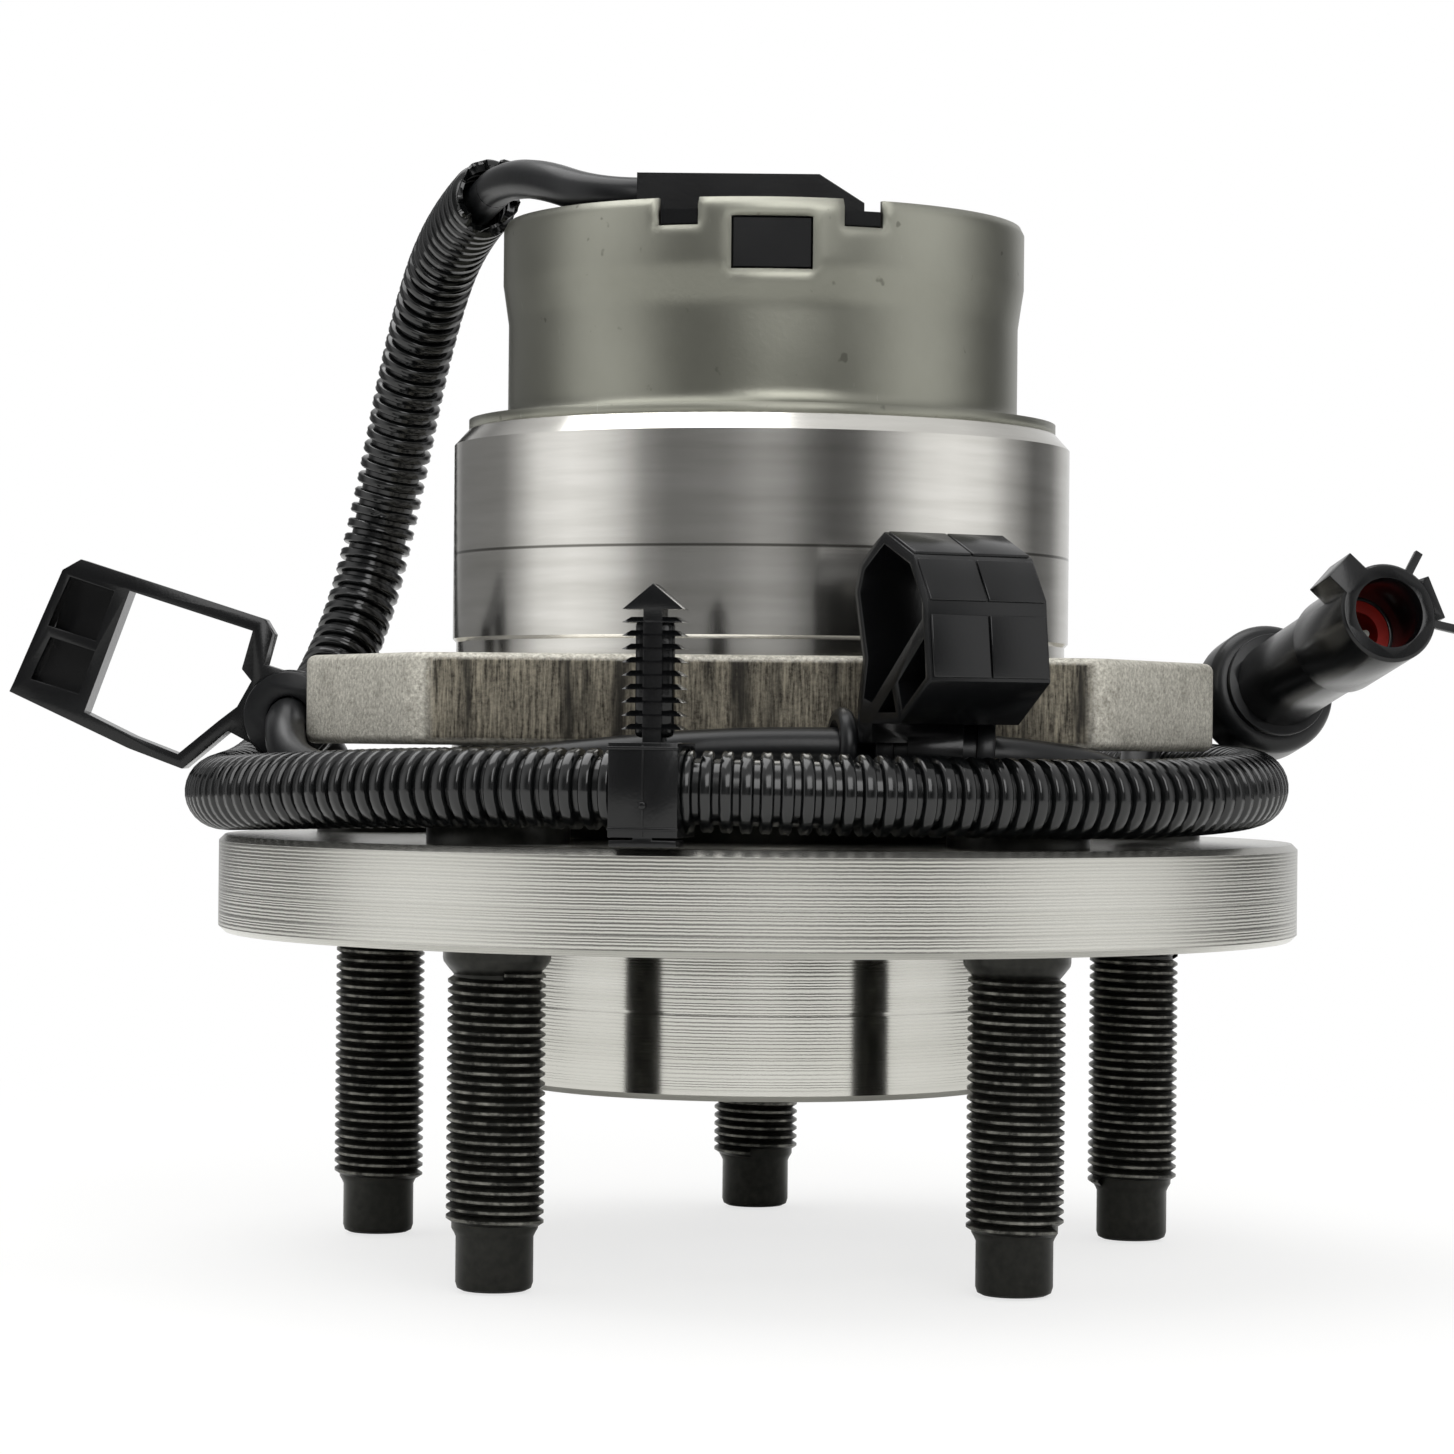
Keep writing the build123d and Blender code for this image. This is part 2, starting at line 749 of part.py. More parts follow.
# Middle clip: a yawed moulded saddle, a tall arch behind and three-sided cells in front,
# with a band round the middle grommet's waist.
middle_clip_axis = (cos(radians(middle_clip_yaw)), sin(radians(middle_clip_yaw)), 0)
middle_clip_depth_dir = (-sin(radians(middle_clip_yaw)), cos(radians(middle_clip_yaw)), 0)
middle_clip_plane = Plane(origin=middle_clip_at, x_dir=middle_clip_depth_dir, z_dir=middle_clip_axis)
band_plane = middle_plane.offset(sleeve_start + sleeve_len / 2)
sleeve_band_r = sleeve_r + clip_fit
with BuildPart() as middle_clip:
    with BuildSketch(middle_clip_plane):
        with BuildLine():
            Polyline(
                (-2.3, 0.0),
                (-9.4, 5.3),
                (-8.5, 13.1),
                (-8.3, 15.5),
                (-5.0, 20.9),
                (1.9, 24.0),
                (3.9, 22.9),
                (7.7, 20.2),
                (9.0, 16.9),
                (6.8, 8.0),
                (7.9, 2.9),
                (7.9, -2.4),
                (4.4, -2.4),
                (4.4, 0.0),
                close=True,
            )
        make_face()
        with BuildLine():
            Polyline(
                (-7.1, 12.9),
                (-7.0, 15.2),
                (-4.2, 19.8),
                (1.9, 22.5),
                (3.2, 21.7),
                (6.6, 19.4),
                (7.7, 16.6),
                (5.5, 8.2),
                (6.5, 3.2),
                (4.6, 2.6),
                close=True,
            )
        make_face(mode=Mode.SUBTRACT)
        with BuildLine():
            Polyline((-1.6, 5.2), (-7.6, 10.5), (-8.1, 5.7), (-2.7, 1.7), close=True)
        make_face(mode=Mode.SUBTRACT)
        with BuildLine():
            Polyline((-0.2, 4.4), (3.2, 1.4), (-1.2, 1.4), close=True)
        make_face(mode=Mode.SUBTRACT)
    extrude(amount=middle_clip_len / 2, both=True)
    with BuildSketch(band_plane):
        Circle(sleeve_band_r + band_wall)
    extrude(amount=middle_band_len / 2, both=True)
    with BuildSketch(middle_plane.offset(sleeve_start)):
        Circle(sleeve_band_r)
    extrude(amount=sleeve_len, mode=Mode.SUBTRACT)
    with BuildSketch(middle_plane.offset(sleeve_start - clip_fit)):
        Circle(sleeve_rim_r + clip_fit)
    extrude(amount=sleeve_rim_t + 2 * clip_fit, mode=Mode.SUBTRACT)
    with BuildSketch(middle_plane.offset(sleeve_start + sleeve_len - sleeve_rim_t - clip_fit)):
        Circle(sleeve_rim_r + clip_fit)
    extrude(amount=sleeve_rim_t + 2 * clip_fit, mode=Mode.SUBTRACT)
middle_clip.part.label = "middle_clip"

# Push-in clip: an open collar snapped on the conduit with a ribbed fir-tree stem on top.
conduit_run = Vector(*conduit_points[10]) - Vector(*conduit_points[9])
conduit_mid = Vector(*conduit_points[9]) + conduit_run * 0.5
conduit_r = conduit_d / 2
push_yaw = -Vector(1, 0, 0).get_angle(Vector(conduit_run.X, conduit_run.Y, 0))
push_plane = Plane(origin=conduit_mid).rotated((0, 0, push_yaw))
tip_plane = Plane(origin=conduit_mid, x_dir=push_plane.x_dir, z_dir=-push_plane.y_dir)
tip_base = collar_top + fin_start + fin_count * fin_pitch
with BuildPart() as push_clip:
    with BuildSketch(push_plane.offset(-collar_drop)):
        with Locations((0, collar_shift)):
            Rectangle(collar_width, collar_depth)
    extrude(amount=collar_drop + collar_top)
    with BuildSketch(Plane(origin=conduit_mid, z_dir=conduit_run)):
        Circle(conduit_r + collar_fit)
    extrude(amount=collar_width, both=True, mode=Mode.SUBTRACT)
    with BuildSketch(push_plane.offset(-collar_drop)):
        with Locations((0, collar_shift - (collar_depth - tab_depth) / 2)):
            Rectangle(tab_neck_w, tab_depth)
    extrude(amount=-tab_gap)
    with BuildSketch(push_plane.offset(-collar_drop - tab_gap)):
        with Locations((0, collar_shift - (collar_depth - tab_depth) / 2)):
            Rectangle(tab_w, tab_depth)
    extrude(amount=-tab_t)
    with BuildSketch(push_plane.offset(collar_top)):
        Rectangle(stem_w, stem_t)
    extrude(amount=tip_base - collar_top + 0.6)
    for fin in range(fin_count):
        with BuildSketch(push_plane.offset(collar_top + fin_start + fin * fin_pitch)):
            Rectangle(fin_w, fin_t)
        extrude(amount=fin_rise, taper=fin_taper)
    with BuildSketch(tip_plane):
        with BuildLine():
            Polyline(
                (-fin_w / 2, tip_base),
                (fin_w / 2, tip_base),
                (0, tip_base + tip_rise),
                close=True,
            )
        make_face()
    extrude(amount=stem_t / 2, both=True)
push_clip.part.label = "push_mount_clip"

# Connector: a rubber boot with a cable neck, a round moulded socket with its latch and
# keys, and a red seal and two contact pins inside.
plug_axis = Vector(*connector_mouth) - Vector(*boot_centre)
plug_reach = plug_axis.length
plug_plane = Plane(origin=boot_centre, x_dir=(1, 0.29, 0), z_dir=plug_axis)
neck_corner = Vector(*boot_neck_corner)
neck_mouth = Vector(*cable_points[-1])
neck_first = neck_corner - neck_mouth
neck_second = Vector(*boot_centre) - neck_corner
with BuildPart() as connector_boot:
    with BuildSketch(plug_plane):
        Circle(boot_r)
    extrude(amount=boot_half, both=True)
    fillet(connector_boot.edges(), boot_round)
    with BuildSketch(plug_plane.offset(boot_half)):
        Circle(boot_collar_r)
    extrude(amount=boot_collar_len)
    with BuildSketch(Plane(origin=neck_mouth, z_dir=neck_first)):
        Circle(boot_neck_r)
    extrude(amount=neck_first.length)
    with BuildSketch(Plane(origin=neck_corner, z_dir=neck_second)):
        Circle(boot_neck_r)
    extrude(amount=neck_second.length - boot_r / 2)
    with Locations(boot_neck_corner):
        Sphere(boot_neck_r)
    with BuildSketch(plug_plane.offset(boot_half + boot_collar_len)):
        Circle(plug_tail_r)
    extrude(amount=-plug_tail_len, mode=Mode.SUBTRACT)
connector_boot.part.label = "connector_boot"

plug_front = boot_half + boot_collar_len
socket_floor = plug_reach - socket_depth
with BuildPart() as connector_housing:
    with BuildSketch(plug_plane.offset(plug_front)):
        Circle(plug_tail_r)
    extrude(amount=-plug_tail_len)
    with BuildSketch(plug_plane.offset(plug_front)):
        Circle(plug_r)
    extrude(amount=plug_reach - plug_front)
    with BuildSketch(plug_plane.offset(plug_reach - plug_head_len)):
        Circle(plug_head_r)
    extrude(amount=plug_head_len)
    chamfer(connector_housing.edges().filter_by(GeomType.CIRCLE).sort_by(Axis(boot_centre, plug_axis))[-1], 0.4)
    with BuildSketch(plug_plane.offset(plug_reach - latch_len)):
        with PolarLocations(plug_head_r, 1, start_angle=latch_turn):
            Rectangle(latch_rise * 2, latch_width)
    extrude(amount=latch_len)
    with BuildSketch(plug_plane.offset(plug_reach - key_len)):
        with PolarLocations(plug_head_r, 1, start_angle=key_turn):
            Rectangle(key_rise * 2, key_width)
    extrude(amount=key_len - 0.5)
    for peg_turn in peg_turns:
        with BuildSketch(plug_plane.offset(plug_reach - peg_t)):
            with PolarLocations(plug_head_r - 0.5 + peg_len / 2, 1, start_angle=peg_turn):
                Rectangle(peg_len + 1, peg_t)
        extrude(amount=peg_t - 0.3)
    with BuildSketch(plug_plane.offset(plug_reach)):
        Circle(socket_r)
    extrude(amount=-socket_mouth_len, mode=Mode.SUBTRACT)
    with BuildSketch(plug_plane.offset(plug_reach)):
        Circle(socket_inner_r)
    extrude(amount=-socket_depth, mode=Mode.SUBTRACT)
connector_housing.part.label = "connector_housing"

with BuildPart() as connector_seal:
    with BuildSketch(plug_plane.offset(socket_floor)):
        Circle(socket_inner_r)
        Circle(seal_hole_r, mode=Mode.SUBTRACT)
    extrude(amount=plug_seal_t)
connector_seal.part.label = "connector_seal"

with BuildPart() as contact_pins:
    with BuildSketch(plug_plane.offset(socket_floor)):
        with GridLocations(pin_spacing, 1, 2, 1):
            Circle(pin_r)
    extrude(amount=pin_len)
contact_pins.part.label = "contact_pins"

for name, piece in [
    ("hub_spindle", hub_spindle.part),
    ("wheel_studs", wheel_studs_set),
    ("inner_ring", inner_ring.part),
    ("outboard_balls", outboard_balls),
    ("inboard_balls", inboard_balls),
    ("outboard_cage", outboard_cage),
    ("inboard_cage", inboard_cage),
    ("outer_ring", outer_ring.part),
    ("outboard_seal_case", outboard_seal_case),
    ("outboard_seal_lip", outboard_seal_lip),
    ("inboard_seal_case", inboard_seal_case),
    ("inboard_seal_lip", inboard_seal_lip),
    ("sensor_cap", sensor_cap.part),
    ("sensor_ring", sensor_ring.part),
    ("sensor_coil", sensor_coil.part),
    ("tone_ring", tone_ring.part),
    ("lead_cable", lead_cable),
    ("conduit", conduit),
    ("harness_cable", harness_cable),
    ("left_grommet", left_grommet.part),
    ("left_clip", left_clip.part),
    ("middle_grommet", middle_grommet.part),
    ("middle_clip", middle_clip.part),
    ("push_mount_clip", push_clip.part),
    ("connector_boot", connector_boot.part),
    ("connector_housing", connector_housing.part),
    ("connector_seal", connector_seal.part),
    ("contact_pins", contact_pins.part),
]:
    export_step(piece, f"parts/{name}.step")
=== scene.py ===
from math import cos, pi, radians, sin

import bmesh
import bpy
from mathutils import Matrix, Quaternion, Vector


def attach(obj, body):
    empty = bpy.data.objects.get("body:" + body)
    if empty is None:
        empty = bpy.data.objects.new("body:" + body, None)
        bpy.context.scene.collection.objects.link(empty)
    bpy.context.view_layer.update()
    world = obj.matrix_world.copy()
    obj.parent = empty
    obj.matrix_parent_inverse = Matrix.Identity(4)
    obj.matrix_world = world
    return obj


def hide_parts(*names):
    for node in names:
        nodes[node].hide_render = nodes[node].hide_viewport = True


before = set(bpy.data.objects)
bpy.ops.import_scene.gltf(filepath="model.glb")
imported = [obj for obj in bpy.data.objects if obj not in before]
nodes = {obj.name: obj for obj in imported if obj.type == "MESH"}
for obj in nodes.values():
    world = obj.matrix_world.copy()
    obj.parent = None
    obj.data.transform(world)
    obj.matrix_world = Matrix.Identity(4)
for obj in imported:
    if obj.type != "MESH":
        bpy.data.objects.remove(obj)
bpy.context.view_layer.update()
MM = 0.001

# Hub spindle, with the wheel flange and pilot: one steel forging, turned all over on a
# lathe. The cutter leaves fine rings round every outside and every face.


def srgb(hex_colour):
    """The hex colour of a swatch, as linear light."""
    channels = [int(hex_colour[i : i + 2], 16) / 255 for i in (1, 3, 5)]
    return tuple(c / 12.92 if c <= 0.04045 else ((c + 0.055) / 1.055) ** 2.4 for c in channels) + (1.0,)


def new_finish(name, **surface):
    """A blank finish with its surface values set; returns it, its tree and its shader."""
    finish = bpy.data.materials.new(name)
    finish.use_nodes = True
    shader = finish.node_tree.nodes["Principled BSDF"]
    for socket, value in surface.items():
        shader.inputs[socket.replace("_", " ")].default_value = value
    return finish, finish.node_tree, shader


def add_node(tree, kind, links=None, **settings):
    """Adds a node, with its settings, and links or sets its inputs."""
    node = tree.nodes.new("ShaderNode" + kind)
    for setting, value in settings.items():
        setattr(node, setting, value)
    for socket, value in (links or {}).items():
        if isinstance(value, bpy.types.NodeSocket):
            tree.links.new(value, node.inputs[socket])
        else:
            node.inputs[socket].default_value = value
    return node


def reckon(tree, operation, *values):
    """The output of a Math node."""
    return add_node(tree, "Math", dict(enumerate(values)), operation=operation).outputs[0]


def remap(tree, value, start=(0.0, 1.0), to=(0.0, 1.0)):
    """A value carried from one range to another and held at its ends."""
    return add_node(tree, "MapRange", {0: value, 1: start[0], 2: start[1], 3: to[0], 4: to[1]}).outputs[0]


def noise(tree, where, scale, detail, roughness=0.5, dimensions="3D"):
    """Fractal noise, in space or, as 1D, along one value."""
    socket = "W" if dimensions == "1D" else "Vector"
    links = {socket: where, "Scale": scale, "Detail": detail, "Roughness": roughness}
    return add_node(tree, "TexNoise", links, noise_dimensions=dimensions).outputs["Fac"]


def blend(tree, share, first, second):
    """A mix of two colours, each a swatch's hex code or another node's output."""
    first, second = (srgb(tone) if isinstance(tone, str) else tone for tone in (first, second))
    return add_node(tree, "Mix", {0: share, 6: first, 7: second}, data_type="RGBA").outputs[2]


def blend_values(tree, share, first, second):
    """A mix of two plain values."""
    return add_node(tree, "Mix", {0: share, 2: first, 3: second}, data_type="FLOAT").outputs[0]


def dress(piece, finish):
    """Gives every face of a piece one finish."""
    piece.data.materials.clear()
    piece.data.materials.append(finish)


def lathe_place(tree):
    """Object coordinates of a turned piece: height along the axis and radius from it."""
    place = add_node(tree, "TexCoord").outputs["Object"]
    axes = add_node(tree, "SeparateXYZ", {0: place})
    flat = add_node(tree, "CombineXYZ", {0: axes.outputs[0], 1: axes.outputs[1]})
    radius = add_node(tree, "VectorMath", {0: flat.outputs[0]}, operation="LENGTH")
    return place, axes.outputs[2], radius.outputs["Value"]


# Turned steel: bright. The tool leaves a groove every 0.45 mm on the flange; the pilot's
# finishing cut is too fine to see, so its side mirrors the room more sharply.
GROOVE_PITCH = 0.45 * MM
PILOT_TO_FLANGE = (0.0355, 0.0375)
turned_steel, tree, shader = new_finish("turned_steel", Metallic=1.0)
_, height, radius = lathe_place(tree)
feed = reckon(tree, "ADD", height, radius)
waver = noise(tree, feed, 900.0, 2.0, dimensions="1D")
passes = noise(tree, feed, 260.0, 3.0, dimensions="1D")
turns_cut = reckon(tree, "MULTIPLY", feed, 2 * pi / GROOVE_PITCH)
drift = reckon(tree, "MULTIPLY_ADD", waver, 9.0, turns_cut)
grooves = reckon(tree, "SINE", drift)
cut_depth = remap(tree, radius, PILOT_TO_FLANGE, (0.18, 1.0))
cut = reckon(tree, "MULTIPLY", grooves, cut_depth)
groove_shade = remap(tree, cut, (-1.0, 1.0), (0.84, 1.0))
tone = blend(tree, passes, "#bebdb6", "#d7d6d0")
lines = add_node(tree, "Mix", {0: 1.0, 6: tone, 7: groove_shade}, data_type="RGBA", blend_type="MULTIPLY")
tree.links.new(lines.outputs[2], shader.inputs["Base Color"])
gloss = remap(tree, radius, PILOT_TO_FLANGE, (0.13, 0.24))
tree.links.new(gloss, shader.inputs["Roughness"])
relief = add_node(tree, "Bump", {"Strength": 0.1, "Distance": 0.0001, "Height": cut})
tree.links.new(relief.outputs[0], shader.inputs["Normal"])
dress(nodes["hub_spindle"], turned_steel)

# Wheel studs: cold-headed steel bolts, pressed in from the inboard face and black
# phosphated. The thread is rolled, 20 to the inch, so its crests are rubbed bright; they are
# also painted brighter, as a painted highlight along each crest.
STUD_COUNT = 5
STUD_CIRCLE = 57.15 * MM
STUD_TURN = 18.0
STUD_TWIST = 47
THREAD_TOP = -2.9 * MM
THREAD_PITCH = 1.27 * MM
THREAD_TURNS = 25.6
THREAD_R = 6.35 * MM
ROOT_R = 5.62 * MM
HALF_CREST = 0.16 * MM
CREST_BAND = (6.12 * MM, 6.34 * MM)
STEPS_PER_TURN = 28


def lathe(profile, steps=64, close=False):
    """A turned body: the profile's (radius, height) points spun about the Z axis."""
    body = bmesh.new()
    points = [body.verts.new((r, 0, z)) for r, z in profile]
    edges = [body.edges.new(pair) for pair in zip(points, points[1:])]
    if close:
        edges.append(body.edges.new((points[-1], points[0])))
    bmesh.ops.spin(
        body, geom=points + edges, cent=(0, 0, 0), axis=(0, 0, 1), angle=2 * pi, steps=steps, use_merge=True
    )
    bmesh.ops.remove_doubles(body, verts=body.verts, dist=1e-6)
    bmesh.ops.recalc_face_normals(body, faces=body.faces)
    return body


def piece_from(body, name, smooth_angle=35.0):
    """Turns a finished bmesh into an object at the origin, smooth over gentle turns."""
    mesh = bpy.data.meshes.new(name)
    body.to_mesh(mesh)
    body.free()
    piece = bpy.data.objects.new(name, mesh)
    bpy.context.scene.collection.objects.link(piece)
    mesh.shade_smooth()
    mesh.set_sharp_from_angle(angle=radians(smooth_angle))
    return piece


def join_bodies(bodies):
    """One bmesh that holds all the given ones."""
    whole = bmesh.new()
    for body in bodies:
        part = bpy.data.meshes.new("part")
        body.to_mesh(part)
        body.free()
        whole.from_mesh(part)
        bpy.data.meshes.remove(part)
    return whole


head_and_shank = lathe(
    [
        (r * MM, z * MM)
        for r, z in (
            (0, 16.3), (8.0, 16.3), (8.9, 16.1), (9.3, 15.3), (9.3, 13.3), (7.0, 13.3), (7.0, -1.5),
            (6.9, -2.0), (6.2, -2.9), (5.6, -3.6), (5.6, -36.4), (5.25, -37.0), (5.03, -37.5),
            (5.03, -43.4), (4.8, -44.1), (4.2, -44.4), (0, -44.4),
        )
    ],
    steps=48,
)
thread = bmesh.new()
thread_points = [
    thread.verts.new((r, 0, z))
    for r, z in (
        (ROOT_R, THREAD_TOP),
        (THREAD_R, THREAD_TOP - THREAD_PITCH / 2 + HALF_CREST),
        (THREAD_R, THREAD_TOP - THREAD_PITCH / 2 - HALF_CREST),
        (ROOT_R, THREAD_TOP - THREAD_PITCH),
    )
]
thread_edges = [thread.edges.new(pair) for pair in zip(thread_points, thread_points[1:])]
bmesh.ops.spin(
    thread,
    geom=thread_points + thread_edges,
    cent=(0, 0, 0),
    axis=(0, 0, 1),
    dvec=(0, 0, -THREAD_PITCH / STEPS_PER_TURN),
    angle=2 * pi * THREAD_TURNS,
    steps=int(THREAD_TURNS * STEPS_PER_TURN),
)
bmesh.ops.remove_doubles(thread, verts=thread.verts, dist=2e-6)
bmesh.ops.recalc_face_normals(thread, faces=thread.faces)
stud = join_bodies([head_and_shank, thread])
studs = bmesh.new()
stud_mesh = bpy.data.meshes.new("stud")
for index in range(STUD_COUNT):
    turn = radians(STUD_TURN + 360 / STUD_COUNT * index)
    twist = Matrix.Rotation(radians(STUD_TWIST * index), 3, "Z")
    bmesh.ops.rotate(stud, verts=stud.verts, cent=(0, 0, 0), matrix=twist)
    shift = Vector((STUD_CIRCLE * cos(turn), STUD_CIRCLE * sin(turn), 0))
    bmesh.ops.translate(stud, verts=stud.verts, vec=shift)
    stud.to_mesh(stud_mesh)
    studs.from_mesh(stud_mesh)
    bmesh.ops.translate(stud, verts=stud.verts, vec=-shift)
stud.free()
bpy.data.meshes.remove(stud_mesh)
threaded_studs = piece_from(studs, "threaded_studs")

# Black phosphate: oiled and nearly black, with bright flecks where the crests are rubbed, and a painted
# highlight along the crests.
# A crest is told from a root by its distance from the nearest stud's own axis.
phosphate, tree, shader = new_finish("phosphated_steel", Metallic=0.7)
place, height, radius = lathe_place(tree)
axes = add_node(tree, "SeparateXYZ", {0: place})
bearing = reckon(tree, "ARCTAN2", axes.outputs[1], axes.outputs[0])
from_stud = reckon(tree, "SUBTRACT", bearing, radians(STUD_TURN))
nearest = reckon(tree, "WRAP", from_stud, pi / STUD_COUNT, -pi / STUD_COUNT)
along = reckon(tree, "COSINE", nearest)
aside = reckon(tree, "SINE", nearest)
along_gap = reckon(tree, "MULTIPLY_ADD", radius, along, -STUD_CIRCLE)
aside_gap = reckon(tree, "MULTIPLY", radius, aside)
gap = add_node(tree, "CombineXYZ", {0: along_gap, 1: aside_gap})
from_axis = add_node(tree, "VectorMath", {0: gap.outputs[0]}, operation="LENGTH")
crests = remap(tree, from_axis.outputs["Value"], CREST_BAND)
mottle = noise(tree, place, 900.0, 4.0)
flecks = noise(tree, place, 420.0, 5.0, 0.7)
# Patchy pale crests: partly rubbed wear, partly a painted highlight along each crest.
rubbed_and_highlit = remap(tree, flecks, (0.42, 0.66), (0.02, 1.0))
threaded = reckon(tree, "LESS_THAN", height, THREAD_TOP - 0.3 * MM)
on_crest = reckon(tree, "MULTIPLY", crests, threaded)
worn_and_highlit_crests = reckon(tree, "MULTIPLY", on_crest, rubbed_and_highlit)
black = blend(tree, mottle, "#141413", "#33332f")
# The crests' pale colour is partly rubbed wear and partly a painted highlight.
stud_tone = blend(tree, worn_and_highlit_crests, black, "#85847d")
tree.links.new(stud_tone, shader.inputs["Base Color"])
dull = remap(tree, mottle, to=(0.24, 0.42))
tree.links.new(dull, shader.inputs["Roughness"])
dress(threaded_studs, phosphate)
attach(threaded_studs, "hub")
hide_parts("wheel_studs")

# Inner ring, balls and cages: the ring and balls are hardened bearing steel, ground and
# lapped; the cages are moulded in natural glass-filled nylon.
ground_steel, tree, shader = new_finish("ground_bearing_steel", Metallic=1.0, Roughness=0.2)
_, height, radius = lathe_place(tree)
feed = reckon(tree, "ADD", height, radius)
grind = noise(tree, feed, 1600.0, 3.0, dimensions="1D")
ring_tone = blend(tree, grind, "#a9a8a4", "#d2d1cd")
tree.links.new(ring_tone, shader.inputs["Base Color"])
dress(nodes["inner_ring"], ground_steel)


def clouded_finish(name, scale, detail, dark, pale, **surface):
    """A finish whose colour drifts between two tones."""
    finish, tree, shader = new_finish(name, **surface)
    clouds = noise(tree, add_node(tree, "TexCoord").outputs["Object"], scale, detail)
    tree.links.new(blend(tree, clouds, dark, pale), shader.inputs["Base Color"])
    return finish


lapped_steel = clouded_finish(
    "lapped_ball_steel", 220.0, 3.0, "#c9c7c0", "#e2e1dd", Metallic=1.0, Roughness=0.06
)
for row in ("outboard_balls", "inboard_balls"):
    dress(nodes[row], lapped_steel)

natural_nylon = clouded_finish("natural_nylon", 160.0, 5.0, "#b7a98a", "#d8cdb2", Roughness=0.5, IOR=1.53)
for cage in ("outboard_cage", "inboard_cage"):
    dress(nodes[cage], natural_nylon)

# Outer ring: a forging. Its round body is ground; its mounting flange is left as forged,
# sheared at the edges and shot blasted, with a skin of grey-brown scale.
FLANGE_LOW, FLANGE_HIGH, FLANGE_EASE = 0.0262, 0.0376, 0.001
BODY_R = 0.0436
WITNESS_AT, WITNESS_FADE = 0.0523, (0.0001, 0.00026)
ring_finish, tree, shader = new_finish("forged_and_ground_ring", Metallic=1.0)
place, height, radius = lathe_place(tree)
grind = noise(tree, height, 2600.0, 3.0, dimensions="1D")
smears = add_node(tree, "Mapping", {"Vector": place, "Scale": (0.25, 0.25, 3.0)})
polish = noise(tree, smears.outputs[0], 150.0, 5.0)
body_tone = blend(tree, polish, "#bfbdb6", "#eceae5")
off_line = reckon(tree, "SUBTRACT", height, WITNESS_AT)
line_gap = reckon(tree, "ABSOLUTE", off_line)
witness = remap(tree, line_gap, WITNESS_FADE, (0.85, 0.0))
body_lines = blend(tree, witness, body_tone, "#57554f")

# The three long sides were sheared in the trimming press, which drags dark upright
# streaks through the steel. The lobe ends are shot blasted: pale, pitted and rounded.
normal = add_node(tree, "SeparateXYZ", {0: add_node(tree, "TexCoord").outputs["Normal"]})
facing = reckon(tree, "ARCTAN2", normal.outputs[0], normal.outputs[1])
third_turn = reckon(tree, "MULTIPLY_ADD", facing, 3.0, -3 * pi)
to_side = reckon(tree, "COSINE", third_turn)
upright = reckon(tree, "ABSOLUTE", normal.outputs[2])
long_side = remap(tree, to_side, (0.1, 0.8))
flat_side = remap(tree, upright, (0.15, 0.6), (1.0, 0.0))
sheared = reckon(tree, "MULTIPLY", long_side, flat_side)
stretched = add_node(tree, "Mapping", {"Vector": place, "Scale": (1.0, 1.0, 0.09)})
shear = noise(tree, stretched.outputs[0], 2000.0, 5.0, 0.66)
tears = noise(tree, stretched.outputs[0], 480.0, 3.0)
scale_skin = noise(tree, place, 190.0, 7.0, 0.7)
blast = noise(tree, place, 1900.0, 4.0, 0.75)
skin_streaks = blend_values(tree, 0.3, shear, blast)
streaks = remap(tree, skin_streaks, (0.4, 0.61))
shear_tone = blend(tree, streaks, "#342f27", "#9b9483")
torn = remap(tree, tears, (0.3, 0.46), (0.9, 0.0))
shear_dark = blend(tree, torn, shear_tone, "#1b1813")
blast_spread = remap(tree, blast, (0.3, 0.7))
blast_tone = blend(tree, blast_spread, "#8f8b80", "#e6e3d8")
scaled = remap(tree, scale_skin, (0.54, 0.7), (0.0, 0.5))
blast_skin = blend(tree, scaled, blast_tone, "#5a5347")
forged_tone = blend(tree, sheared, blast_skin, shear_dark)
# Convex edges painted pale: partly rubbed wear, partly a painted highlight where the edges catch the light.
edge_wear_and_highlight = add_node(tree, "NewGeometry").outputs["Pointiness"]
rubbed_and_highlit = remap(tree, edge_wear_and_highlight, (0.52, 0.6), (0.0, 0.5))
edged_tone = blend(tree, rubbed_and_highlit, forged_tone, "#bdb6a8")
beyond = reckon(tree, "GREATER_THAN", radius, BODY_R)
above = reckon(tree, "GREATER_THAN", height, FLANGE_LOW - FLANGE_EASE)
below = reckon(tree, "LESS_THAN", height, FLANGE_HIGH + FLANGE_EASE)
band = reckon(tree, "MULTIPLY", above, below)
forged = reckon(tree, "MULTIPLY", beyond, band)
ring_tone = blend(tree, forged, body_lines, edged_tone)
tree.links.new(ring_tone, shader.inputs["Base Color"])
metal = blend_values(tree, forged, 1.0, 0.45)
tree.links.new(metal, shader.inputs["Metallic"])
ring_rough = blend_values(tree, forged, 0.15, 0.55)
tree.links.new(ring_rough, shader.inputs["Roughness"])
pits = blend_values(tree, sheared, blast, shear)
ring_height = blend_values(tree, forged, 0.5, pits)
relief = add_node(tree, "Bump", {"Strength": 0.5, "Distance": 0.0004, "Height": ring_height})
scratches = add_node(
    tree, "Bump", {"Strength": 0.03, "Distance": 0.0001, "Height": grind, "Normal": relief.outputs[0]}
)
tree.links.new(scratches.outputs[0], shader.inputs["Normal"])
dress(nodes["outer_ring"], ring_finish)

